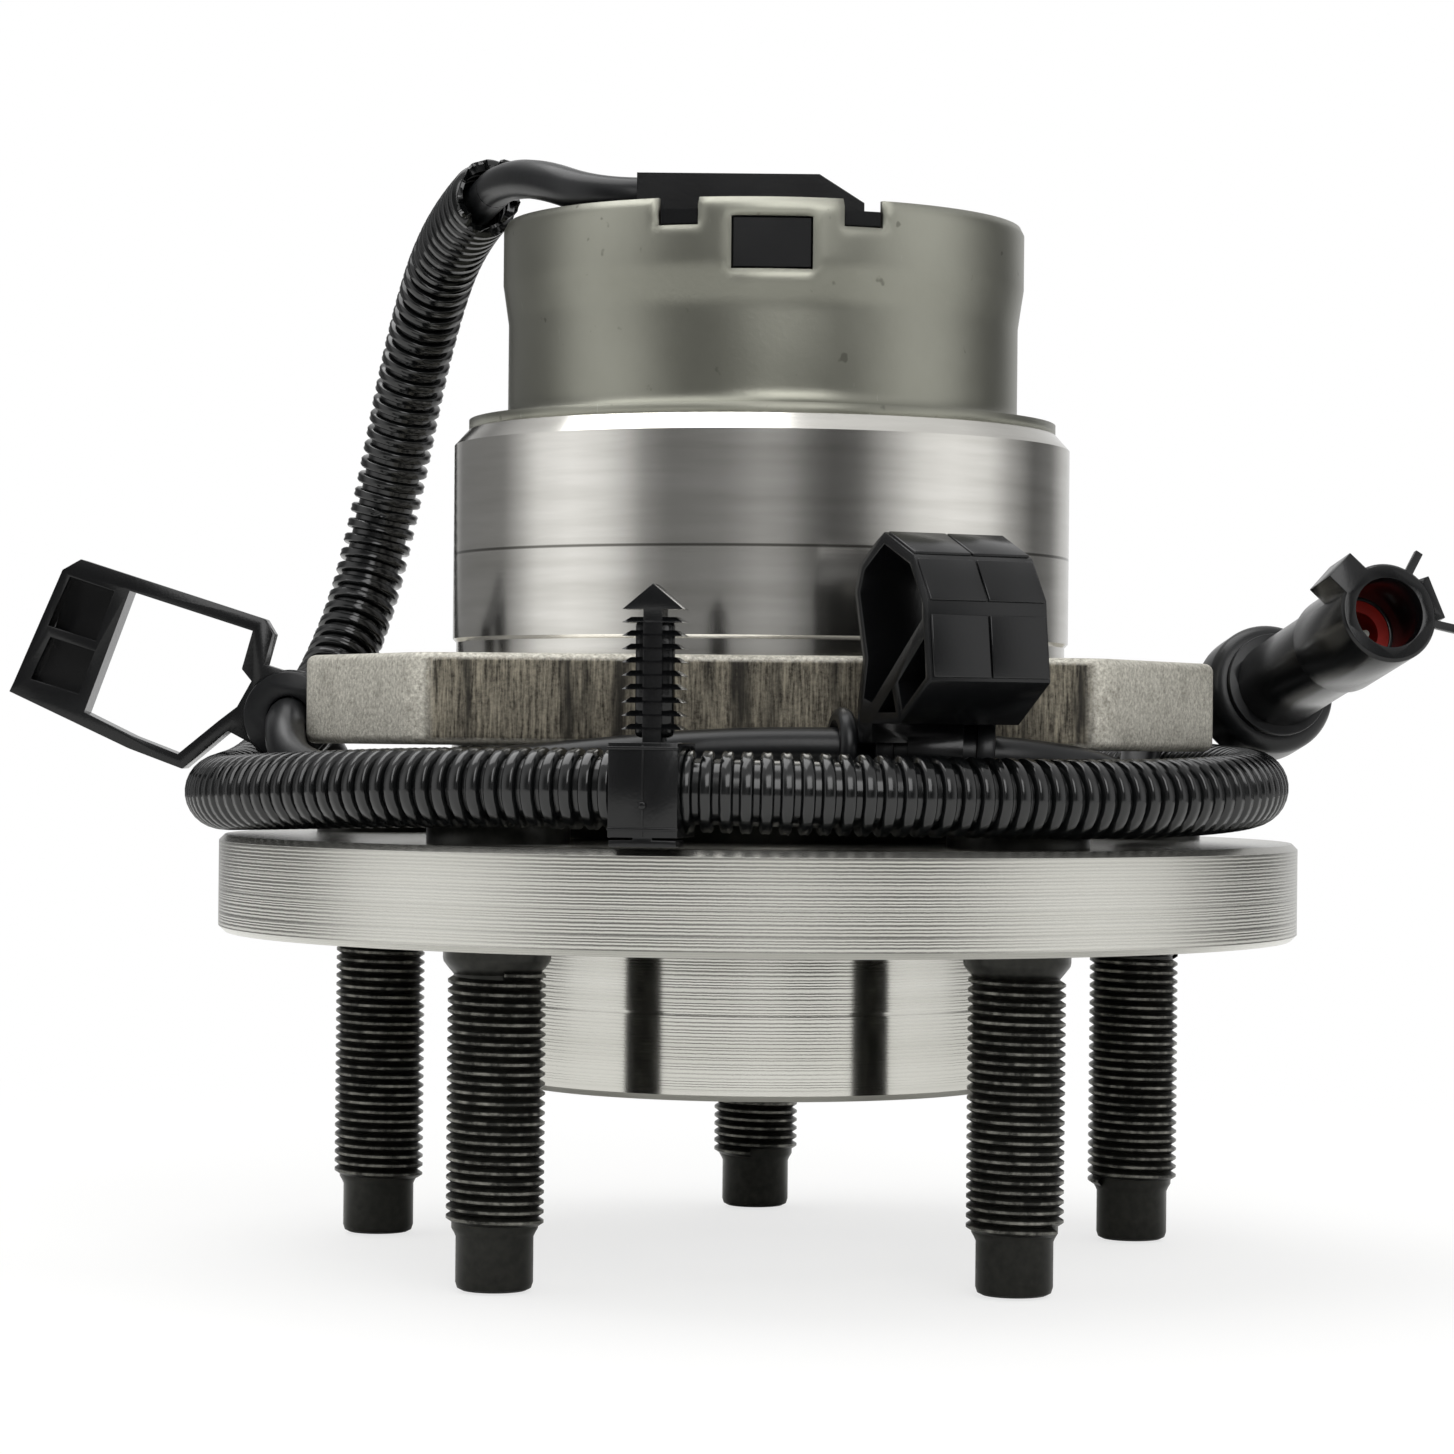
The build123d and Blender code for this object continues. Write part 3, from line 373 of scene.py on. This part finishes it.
# Seals: zinc-plated pressed cases, each with a nitrile rubber lip moulded to it.
plated_case = clouded_finish(
    "plated_seal_case", 300.0, 4.0, "#85857f", "#b4b4ae", Metallic=1.0, Roughness=0.32
)
for case in ("outboard_seal_case", "inboard_seal_case"):
    dress(nodes[case], plated_case)

nitrile = clouded_finish("nitrile_rubber", 420.0, 4.0, "#131313", "#2a2a29", Roughness=0.55, IOR=1.52)
for lip in ("outboard_seal_lip", "inboard_seal_lip"):
    dress(nodes[lip], nitrile)

# Sensor cap: a deep-drawn steel can, dull from the press and the degreasing bath, with
# faint smudges, small dark pits and a few bright scratches on its side. Towards its flared
# top its colour is painted paler: painted light from above.
FLARED_TOP = (0.088, 0.098)
drawn_steel, tree, shader = new_finish("deep_drawn_steel", Metallic=1.0)
place = add_node(tree, "TexCoord").outputs["Object"]
axes = add_node(tree, "SeparateXYZ", {0: place})
clouds = noise(tree, place, 34.0, 5.0, 0.58)
cap_tone = blend(tree, clouds, "#7b7b71", "#a3a398")
# Painted light: the colour grows paler towards the flared top, as if lit from above.
painted_top_light = remap(tree, axes.outputs[2], FLARED_TOP, (0.0, 0.3))
paler = blend(tree, painted_top_light, cap_tone, "#b0b0a4")
specks = noise(tree, place, 420.0, 2.0)
pitted = remap(tree, specks, (0.24, 0.29), (0.5, 0.0))
spotted = blend(tree, pitted, paler, "#4d4b43")
nicks = add_node(tree, "Mapping", {"Vector": place, "Rotation": (0.4, 0.2, 0.0), "Scale": (1.0, 1.0, 0.2)})
scuffs = noise(tree, nicks.outputs[0], 900.0, 3.0)
scuffed = remap(tree, scuffs, (0.73, 0.8), (0.0, 0.4))
marked = blend(tree, scuffed, spotted, "#cfcec4")
tree.links.new(marked, shader.inputs["Base Color"])
cap_rough = remap(tree, clouds, to=(0.25, 0.38))
tree.links.new(cap_rough, shader.inputs["Roughness"])
grain = noise(tree, place, 1700.0, 3.0)
drawn_edge = add_node(tree, "Bevel", {"Radius": 0.0024}, samples=8)
relief = add_node(
    tree, "Bump", {"Strength": 0.12, "Distance": 0.0001, "Height": grain, "Normal": drawn_edge.outputs[0]}
)
tree.links.new(relief.outputs[0], shader.inputs["Normal"])
dress(nodes["sensor_cap"], drawn_steel)

# Speed sensor: a ring of black glass-filled nylon, moulded over a winding of enamelled
# copper wire. Its moulded skin is glossy, with a fine spark-eroded grain.
black_nylon, tree, shader = new_finish("black_nylon", IOR=1.53, Specular_IOR_Level=0.34)
place = add_node(tree, "TexCoord").outputs["Object"]
spark = noise(tree, place, 2400.0, 3.0)
sheen = noise(tree, place, 120.0, 4.0)
nylon_tone = blend(tree, sheen, "#070708", "#101112")
tree.links.new(nylon_tone, shader.inputs["Base Color"])
nylon_rough = remap(tree, sheen, to=(0.14, 0.28))
tree.links.new(nylon_rough, shader.inputs["Roughness"])
relief = add_node(tree, "Bump", {"Strength": 0.1, "Distance": 0.0001, "Height": spark})
tree.links.new(relief.outputs[0], shader.inputs["Normal"])
dress(nodes["sensor_ring"], black_nylon)

winding, tree, shader = new_finish("enamelled_copper", Metallic=1.0, Roughness=0.35)
place = add_node(tree, "TexCoord").outputs["Object"]
wires = add_node(tree, "TexWave", {"Vector": place, "Scale": 900.0}, wave_type="RINGS", rings_direction="Z")
copper_tone = blend(tree, wires.outputs["Fac"], "#7a3d1f", "#c27a4a")
tree.links.new(copper_tone, shader.inputs["Base Color"])
dress(nodes["sensor_coil"], winding)

# Tone ring: a pressed steel sleeve on the inner ring, with 44 slots that the sensor
# counts as they pass.
pressed_steel = clouded_finish(
    "pressed_tone_steel", 200.0, 5.0, "#77766f", "#a8a7a1", Metallic=1.0, Roughness=0.4
)
dress(nodes["tone_ring"], pressed_steel)

# Sensor lead: a short rubber-jacketed cable that leaves the sensor's boss over the cap's
# rim and goes into the top of the conduit.
LEAD_ROUTE = [
    (-17.0, -23.5, 99.8), (-22.8, -23.5, 99.8), (-31.0, -14.2, 103.6), (-36.44, -3.6, 104.4),
    (-37.8, 0.5, 103.9),
]
LEAD_R = 2.7 * MM


def route_curve(name, route, radius):
    """A smooth curve through the run of a cable, with the route's points as its controls."""
    line = bpy.data.curves.new(name, "CURVE")
    line.dimensions = "3D"
    line.resolution_u = 16
    line.bevel_depth = radius
    line.bevel_resolution = 6
    line.use_fill_caps = radius > 0
    spline = line.splines.new("NURBS")
    spline.points.add(len(route) - 1)
    for control, point in zip(spline.points, route):
        control.co = (*(value * MM for value in point), 1.0)
    spline.order_u = 3
    spline.use_endpoint_u = True
    curve = bpy.data.objects.new(name, line)
    bpy.context.scene.collection.objects.link(curve)
    return curve


cable_rubber, tree, shader = new_finish("cable_rubber", IOR=1.52, Specular_IOR_Level=0.32)
place = add_node(tree, "TexCoord").outputs["Object"]
dusting = noise(tree, place, 180.0, 5.0, 0.65)
skin = noise(tree, place, 1500.0, 3.0)
rubber_tone = blend(tree, dusting, "#0a0b0c", "#17181a")
tree.links.new(rubber_tone, shader.inputs["Base Color"])
rubber_rough = remap(tree, dusting, to=(0.24, 0.4))
tree.links.new(rubber_rough, shader.inputs["Roughness"])
relief = add_node(tree, "Bump", {"Strength": 0.12, "Distance": 0.0001, "Height": skin})
tree.links.new(relief.outputs[0], shader.inputs["Normal"])

sensor_lead = route_curve("sensor_lead", LEAD_ROUTE, LEAD_R)
dress(sensor_lead, cable_rubber)
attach(sensor_lead, "outer")
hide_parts("lead_cable")

# Conduit: corrugated black nylon tube, blown over the lead. Its ribs are 2.4 mm apart,
# each with a faint double crest, and its top end is torn open on the near side.
CONDUIT_ROUTE = [
    (-37.8, 0.5, 103.9), (-44.6, 21.0, 101.4), (-51.0, 36.5, 87.0), (-56.5, 45.5, 62.0), (-60.6, 42.8, 43.5),
    (-66.4, 31.0, 28.8), (-71.8, 13.0, 20.8), (-75.5, -9.0, 18.9), (-67.5, -33.5, 19.4), (-35.7, -65.7, 20.9),
    (9.8, -74.2, 20.2), (50.5, -54.9, 19.6), (69.5, -24.0, 21.0), (61.8, 11.5, 22.3), (50.0, 45.0, 22.3),
    (26.0, 70.0, 20.4), (-8.0, 74.5, 19.6), (-37.0, 64.3, 19.6), (-49.0, 54.5, 19.9),
]
RIB_PITCH = 2.4 * MM
RIB_OUTLINE = (
    (0.0, 4.1), (0.32, 4.1), (0.5, 4.85), (0.78, 5.1), (1.2, 5.0), (1.62, 5.1), (1.9, 4.85), (2.08, 4.1),
)
RIB_ROOT = 4.1 * MM
TORN_LENGTH = 10 * RIB_PITCH
HIDDEN_LEAD = (0.1 * MM, 16 * MM)

guide = route_curve("conduit_guide", CONDUIT_ROUTE, 0.0)
bpy.context.view_layer.update()
guide_line = bpy.data.meshes.new_from_object(guide.evaluated_get(bpy.context.evaluated_depsgraph_get()))
conduit_line = [vertex.co.copy() for vertex in guide_line.vertices]
bpy.data.meshes.remove(guide_line)
bpy.data.objects.remove(guide)

stations = [0.0]
headings = [(after - before).normalized() for before, after in zip(conduit_line, conduit_line[1:])]
headings.append(headings[-1])
sides = [headings[0].orthogonal().normalized()]
for before, after, heading, next_heading in zip(conduit_line, conduit_line[1:], headings, headings[1:]):
    stations.append(stations[-1] + (after - before).length)
    sides.append(heading.rotation_difference(next_heading) @ sides[-1])
conduit_length = stations[-1]


def bend_along(body):
    """Bends a straight tube that stands on the origin so that it follows the route."""
    ordered = sorted(body.verts, key=lambda vertex: vertex.co.z)
    step = 0
    for vertex in ordered:
        along = min(vertex.co.z, conduit_length)
        while step < len(stations) - 2 and stations[step + 1] < along:
            step += 1
        share = (along - stations[step]) / (stations[step + 1] - stations[step])
        heading = headings[step].lerp(headings[step + 1], share).normalized()
        side = sides[step].lerp(sides[step + 1], share)
        side = (side - heading * side.dot(heading)).normalized()
        centre = conduit_line[step].lerp(conduit_line[step + 1], share)
        vertex.co = centre + side * vertex.co.x + heading.cross(side) * vertex.co.y


def ribbed_tube(start, end, steps):
    """A straight corrugated tube between two heights, spun from the ribs' outline."""
    outline = []
    height = start
    while height < end - RIB_PITCH / 2:
        outline += [(radius * MM, height + rise * MM) for rise, radius in RIB_OUTLINE]
        height += RIB_PITCH
    outline.append((RIB_ROOT, height))
    return lathe(outline, steps=steps)


rib_count = int(conduit_length / RIB_PITCH)
long_run = ribbed_tube(TORN_LENGTH, rib_count * RIB_PITCH, 30)
torn_end = ribbed_tube(-2 * RIB_PITCH, TORN_LENGTH, 72)

# The tear runs obliquely: the wall towards the cap and the near side is gone for some
# 9 mm, and the far wall still arches over the lead. Each cut has the side that it opens,
# its slope and its start in mm; the rim between them is ragged.
TEARS = ((Vector((0.55, -0.6, -0.55)), 1.4, 2.9), (Vector((-0.5, -0.75, 0.3)), 0.85, 1.8))
cross_side = headings[0].cross(sides[0])
for torn_side, slope, start in TEARS:
    cut_normal = Vector(
        (-slope * torn_side.dot(sides[0]), -slope * torn_side.dot(cross_side), 1.0)
    ).normalized()
    bmesh.ops.bisect_plane(
        torn_end, geom=torn_end.verts[:] + torn_end.edges[:] + torn_end.faces[:], dist=1e-7,
        plane_co=(0, 0, start * MM), plane_no=cut_normal, clear_inner=True,
    )
torn_rim = [v for v in torn_end.verts if v.is_boundary and v.co.z < TORN_LENGTH - 1e-5]
for vertex in torn_rim:
    around = Vector(vertex.co[:2]).angle_signed(Vector((1, 0)))
    vertex.co.z += (0.35 * sin(around * 5) + 0.2 * sin(around * 13 + 1)) * MM
bmesh.ops.solidify(torn_end, geom=torn_end.faces[:], thickness=0.45 * MM)

# The lead shows through the tear, so its hidden end is drawn there, bent like the conduit.
lead_from, lead_to = HIDDEN_LEAD
lead_inside = lathe([(0, lead_from), (LEAD_R, lead_from), (LEAD_R, lead_to), (0, lead_to)], steps=28)
long_edges = [edge for edge in lead_inside.edges if edge.calc_length() > 10 * MM]
bmesh.ops.subdivide_edges(lead_inside, edges=long_edges, cuts=8)
conduit_body = join_bodies([torn_end, long_run])
bend_along(conduit_body)
bend_along(lead_inside)
bmesh.ops.remove_doubles(conduit_body, verts=conduit_body.verts, dist=1e-6)
ribbed_conduit = piece_from(conduit_body, "ribbed_conduit", smooth_angle=60.0)
lead_in_conduit = piece_from(lead_inside, "lead_in_conduit")
dress(lead_in_conduit, cable_rubber)
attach(lead_in_conduit, "outer")

conduit_nylon, tree, shader = new_finish("conduit_nylon", IOR=1.53, Specular_IOR_Level=0.5)
place = add_node(tree, "TexCoord").outputs["Object"]
haze = noise(tree, place, 130.0, 5.0)
conduit_tone = blend(tree, haze, "#060707", "#0f1011")
tree.links.new(conduit_tone, shader.inputs["Base Color"])
conduit_rough = remap(tree, haze, to=(0.08, 0.24))
tree.links.new(conduit_rough, shader.inputs["Roughness"])
dress(ribbed_conduit, conduit_nylon)
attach(ribbed_conduit, "outer")
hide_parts("conduit")

# Clips and grommets: the clips are moulded in black nylon with rounded edges. Two grip
# rubber grommets on the cable, and the push-in one closes round the conduit.
UP = Vector((0, 0, 1))


def moulded_pad(size, centre, along, out):
    """A small raised pad with eased edges: size and centre in mm, its length along one way."""
    pad = bmesh.new()
    bmesh.ops.create_cube(pad, size=MM)
    bmesh.ops.scale(pad, verts=pad.verts, vec=size)
    bmesh.ops.bevel(
        pad, geom=pad.edges[:], offset=min(size) * 0.3 * MM, offset_type="OFFSET", segments=2, profile=0.5,
        affect="EDGES", clamp_overlap=True, material=-1,
    )
    across = out.cross(along)
    turn = Matrix((along, across, out)).transposed()
    bmesh.ops.rotate(pad, verts=pad.verts, cent=(0, 0, 0), matrix=turn)
    bmesh.ops.translate(pad, verts=pad.verts, vec=Vector(centre) * MM)
    return pad


# The saddle's arch was moulded in two halves: three pads on each half, with a ledge under
# each pad and the mould's parting line between the halves.
SADDLE_AT, SADDLE_YAW = Vector((24.0, -60.3, 29.1)), radians(30)
SADDLE_PAD_RUNS = (((-9.4, 5.7), (-8.45, 13.5)), ((-8.3, 15.2), (-5.3, 20.4)), ((-4.7, 21.0), (1.5, 23.8)))
SADDLE_HALF = 4.32
saddle_back = Vector((-sin(SADDLE_YAW), cos(SADDLE_YAW), 0))
saddle_along = Vector((cos(SADDLE_YAW), sin(SADDLE_YAW), 0))
saddle_pads = []
for run in SADDLE_PAD_RUNS:
    low, high = (saddle_back * reach + UP * rise for reach, rise in run)
    up = (high - low).normalized()
    out = saddle_along.cross(up)
    for half in (-SADDLE_HALF, SADDLE_HALF):
        centre = SADDLE_AT + (low + high) / 2 + saddle_along * half + out * 0.1
        saddle_pads.append(moulded_pad(((high - low).length, 8.4, 0.55), centre, up, out))

# The middle grommet ends, to the left of the saddle's foot, in a thick rounded collar
# that leans a little towards the front.
SPOOL_AT, SPOOL_YAW = Vector((9.4, -53.1, 25.9)), radians(12)
grommet_collar = lathe(
    [
        (r * MM, z * MM)
        for r, z in (
            (3.5, 0.25), (3.7, 0), (4.5, 0), (5.0, 0.25), (5.3, 0.75), (5.3, 1.45), (5.0, 1.95), (4.5, 2.2),
            (4.0, 2.4), (3.9, 6.0), (2.6, 6.0), (2.6, 1.4),
        )
    ],
    steps=48, close=True,
)
spool_turn = UP.rotation_difference(Vector((cos(SPOOL_YAW), sin(SPOOL_YAW), -0.03))).to_matrix()
bmesh.ops.rotate(grommet_collar, verts=grommet_collar.verts, cent=(0, 0, 0), matrix=spool_turn)
bmesh.ops.translate(grommet_collar, verts=grommet_collar.verts, vec=SPOOL_AT * MM)

# The push-in clip's collar has the mould's parting line and the gate's stub on its face,
# a ledge under its lid and over its foot, and a web up its stem, behind the fins.
COLLAR_AT, COLLAR_YAW = Vector((-12.95, -69.95, 20.55)), radians(-10.58)
collar_right = Vector((cos(COLLAR_YAW), sin(COLLAR_YAW), 0))
collar_front = Vector((sin(COLLAR_YAW), -cos(COLLAR_YAW), 0))
push_in_extras = [
    moulded_pad(size, COLLAR_AT + collar_front * forward + UP * rise, run, collar_front)
    for size, forward, rise, run in (
        ((11.2, 0.22, 0.3), 6.8, 0.0, UP),
        ((0.9, 0.9, 0.7), 6.9, -1.8, UP),
        ((14.6, 4.8, 2.4), 0.0, 13.8, UP),
        ((8.9, 0.4, 0.4), 6.8, 5.2, collar_right),
        ((8.9, 0.4, 0.4), 6.8, -4.7, collar_right),
    )
]
SHARP_EDGE, MOULD_JOIN = radians(40.0), radians(1.0)


def rounded_copy(node, name, width, added):
    """The part's own solid as a new piece, its sharp edges rounded as a mould leaves them."""
    body = bmesh.new()
    body.from_mesh(nodes[node].data)
    bmesh.ops.remove_doubles(body, verts=body.verts, dist=2e-6)
    bmesh.ops.dissolve_limit(body, angle_limit=MOULD_JOIN, verts=body.verts, edges=body.edges)
    sharp = [edge for edge in body.edges if edge.is_convex and edge.calc_face_angle(0.0) > SHARP_EDGE]
    bmesh.ops.bevel(
        body, geom=sharp, offset=width, offset_type="OFFSET", segments=2, profile=0.5, affect="EDGES",
        clamp_overlap=True, material=-1,
    )
    return piece_from(join_bodies([body, *added]), name, smooth_angle=32.0)


for node, name, width, finish, slot, added in (
    ("left_grommet", "cable_grommet_left", 0.5, cable_rubber, "grommet_rubber", ()),
    ("left_clip", "loop_clip_left", 0.12, black_nylon, "clip_plastic", ()),
    ("middle_grommet", "cable_grommet_middle", 0.45, cable_rubber, "grommet_rubber", (grommet_collar,)),
    ("middle_clip", "saddle_clip_middle", 0.2, black_nylon, "clip_plastic", saddle_pads),
    ("push_mount_clip", "push_in_clip", 0.1, black_nylon, "clip_plastic", push_in_extras),
    ("connector_boot", "rubber_boot", 0.3, cable_rubber, "boot_rubber", ()),
    ("connector_housing", "socket_housing", 0.18, black_nylon, "connector_plastic", ()),
):
    piece = rounded_copy(node, name, width * MM, added)
    dress(piece, finish)
    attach(piece, "outer")
    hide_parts(node)

# Connector: inside the moulded socket, made above, a red silicone seal and two tinned
# brass pins.
red_silicone = clouded_finish("red_silicone", 600.0, 4.0, "#8e1712", "#c02b20", Roughness=0.4, IOR=1.41)
dress(nodes["connector_seal"], red_silicone)

tinned_pins = clouded_finish("tinned_brass", 900.0, 3.0, "#a5a49c", "#d0cfc8", Metallic=1.0, Roughness=0.28)
dress(nodes["contact_pins"], tinned_pins)

# Harness cable: the same rubber-jacketed cable, from the conduit's far end, through both
# grommets, to the connector's boot.
CABLE_ROUTE = [
    (-49.0, 54.5, 19.9), (-61.0, 44.7, 20.2), (-63.8, 32.2, 19.4), (-60.9, 20.5, 22.6), (-65.4, 9.0, 29.6),
    (-65.4, -13.4, 29.6), (-62.8, -26.0, 22.2), (-48.0, -40.5, 21.4), (-26.0, -52.2, 23.8), (2.0, -52.8, 26.4),
    (40.0, -54.1, 24.7), (50.0, -34.6, 20.4), (51.5, -14.0, 20.0), (53.0, 3.2, 20.2), (55.3, 14.0, 29.4),
]
CABLE_R = 2.75 * MM
sensor_cable = route_curve("sensor_cable", CABLE_ROUTE, CABLE_R)
dress(sensor_cable, cable_rubber)
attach(sensor_cable, "outer")
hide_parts("harness_cable")

# Table: plain white paper under the hub, which stands on its studs. Seen directly it
# glows, more with the distance, so that only a faint shadow is left round the studs.
FLOOR_AT, FLOOR_HALF = -0.0447, 0.7
SHADOW_REACH, SHADOW_LEVEL = (0.1, 0.32), 0.72
floor_mesh = bmesh.new()
bmesh.ops.create_grid(floor_mesh, x_segments=1, y_segments=1, size=FLOOR_HALF)
bmesh.ops.translate(floor_mesh, verts=floor_mesh.verts, vec=(0, 0, FLOOR_AT))
floor = piece_from(floor_mesh, "table_top")
paper, tree, shader = new_finish("white_paper", Roughness=0.9)
light_path = add_node(tree, "LightPath")
glow = add_node(tree, "Emission", {"Color": (1.0, 1.0, 1.0, 1.0), "Strength": 1.0})
shader.inputs["Base Color"].default_value = srgb("#f4f4f2")
reach = add_node(tree, "VectorMath", {0: add_node(tree, "TexCoord").outputs["Object"]}, operation="LENGTH")
whiter = add_node(
    tree, "MapRange",
    {0: reach.outputs["Value"], 1: SHADOW_REACH[0], 2: SHADOW_REACH[1], 3: SHADOW_LEVEL, 4: 1.0},
    interpolation_type="SMOOTHSTEP",
)
seen = reckon(tree, "MULTIPLY", light_path.outputs["Is Camera Ray"], whiter.outputs[0])
lit = add_node(tree, "MixShader", {0: seen, 1: shader.outputs[0], 2: glow.outputs[0]})
tree.links.new(lit.outputs[0], tree.nodes["Material Output"].inputs["Surface"])
dress(floor, paper)

# Light: the steel mirrors a ring of pale and dark walls, each stop a bearing from the
# front and a level, under a pale ceiling. Seen directly the studio is white. Two soft
# lights stand above, one of them in front.
world = bpy.data.worlds.new("studio")
bpy.context.scene.world = world
world.use_nodes = True
tree = world.node_tree
around = add_node(tree, "TexCoord").outputs["Generated"]
axes = add_node(tree, "SeparateXYZ", {0: around})
bearing = reckon(tree, "ARCTAN2", axes.outputs[0], axes.outputs[1])
turn = remap(tree, bearing, (-pi, pi))
walls = add_node(tree, "ValToRGB", {0: turn})
stops = walls.color_ramp.elements
FRONT_LEVEL = 0.36
for stop, position in zip(stops, (0.0, 1.0)):
    stop.position, stop.color = position, (FRONT_LEVEL, FRONT_LEVEL, FRONT_LEVEL, 1)
for degrees_left, level in (
    (14, 0.22), (34, 0.17), (44, 0.3), (50, 0.6), (60, 0.9), (74, 1.05), (90, 0.9), (100, 0.5), (110, 0.22),
    (150, 0.2), (166, 0.6), (180, 0.9),
):
    stop = stops.new(degrees_left / 360)
    stop.color = (level, level, level, 1)
for degrees_right, level in (
    (9, 0.3), (18, 0.12), (26, 0.06), (36, 0.12), (48, 0.5), (60, 0.9), (74, 1.05), (92, 0.9), (104, 0.45),
    (120, 0.12), (136, 0.2), (150, 0.6),
):
    stop = stops.new(1 - degrees_right / 360)
    stop.color = (level, level, level, 1)
overhead = remap(tree, axes.outputs[2], (0.45, 0.75))
ceiling = blend(tree, overhead, walls.outputs[0], (0.8, 0.8, 0.8, 1.0))
backdrop = add_node(tree, "Background", {"Color": (1.0, 1.0, 1.0, 1.0), "Strength": 1.0})
surround = add_node(tree, "Background", {"Color": ceiling, "Strength": 1.0})
rays = add_node(tree, "LightPath")
sky = add_node(
    tree, "MixShader", {0: rays.outputs["Is Camera Ray"], 1: surround.outputs[0], 2: backdrop.outputs[0]}
)
out = tree.nodes.get("World Output") or tree.nodes.new("ShaderNodeOutputWorld")
tree.links.new(sky.outputs[0], out.inputs["Surface"])

for name, spot, size, power in (
    ("front_softbox", (0.25, -1.1, 0.75), 0.8, 6.5),
    ("top_softbox", (-0.3, 0.2, 1.2), 1.0, 8.0),
):
    lamp = bpy.data.lights.new(name, "AREA")
    lamp.size, lamp.energy = size, power
    softbox = bpy.data.objects.new(name, lamp)
    bpy.context.scene.collection.objects.link(softbox)
    softbox.location = spot
    softbox.rotation_mode = "QUATERNION"
    softbox.rotation_quaternion = (Vector((0, 0, 0.03)) - Vector(spot)).to_track_quat("-Z", "Y")

# Camera: solved from the photograph's ellipses. It is level with the conduit, 0.59 m in
# front of the hub's axis, and rolled by half a degree. PX are the photograph's pixels.
PHOTO_PX, FOCAL_PX, SHIFT_PX = 1454, 4220, (-32.3, 15.4)
camera_data = bpy.data.cameras.new("camera")
camera_data.sensor_width = 36.0
camera_data.lens = FOCAL_PX / PHOTO_PX * 36
camera_data.shift_x = SHIFT_PX[0] / PHOTO_PX
camera_data.shift_y = SHIFT_PX[1] / PHOTO_PX
camera_data.clip_start, camera_data.clip_end = 0.05, 20.0
camera = bpy.data.objects.new("camera", camera_data)
bpy.context.scene.collection.objects.link(camera)
camera.location = (0, -0.5915, 0.0266)
camera.rotation_mode = "QUATERNION"
camera.rotation_quaternion = Quaternion((0, 1, 0), radians(-0.553)) @ Quaternion((1, 0, 0), radians(90))
bpy.context.scene.camera = camera
bpy.context.scene.view_settings.view_transform = "Standard"
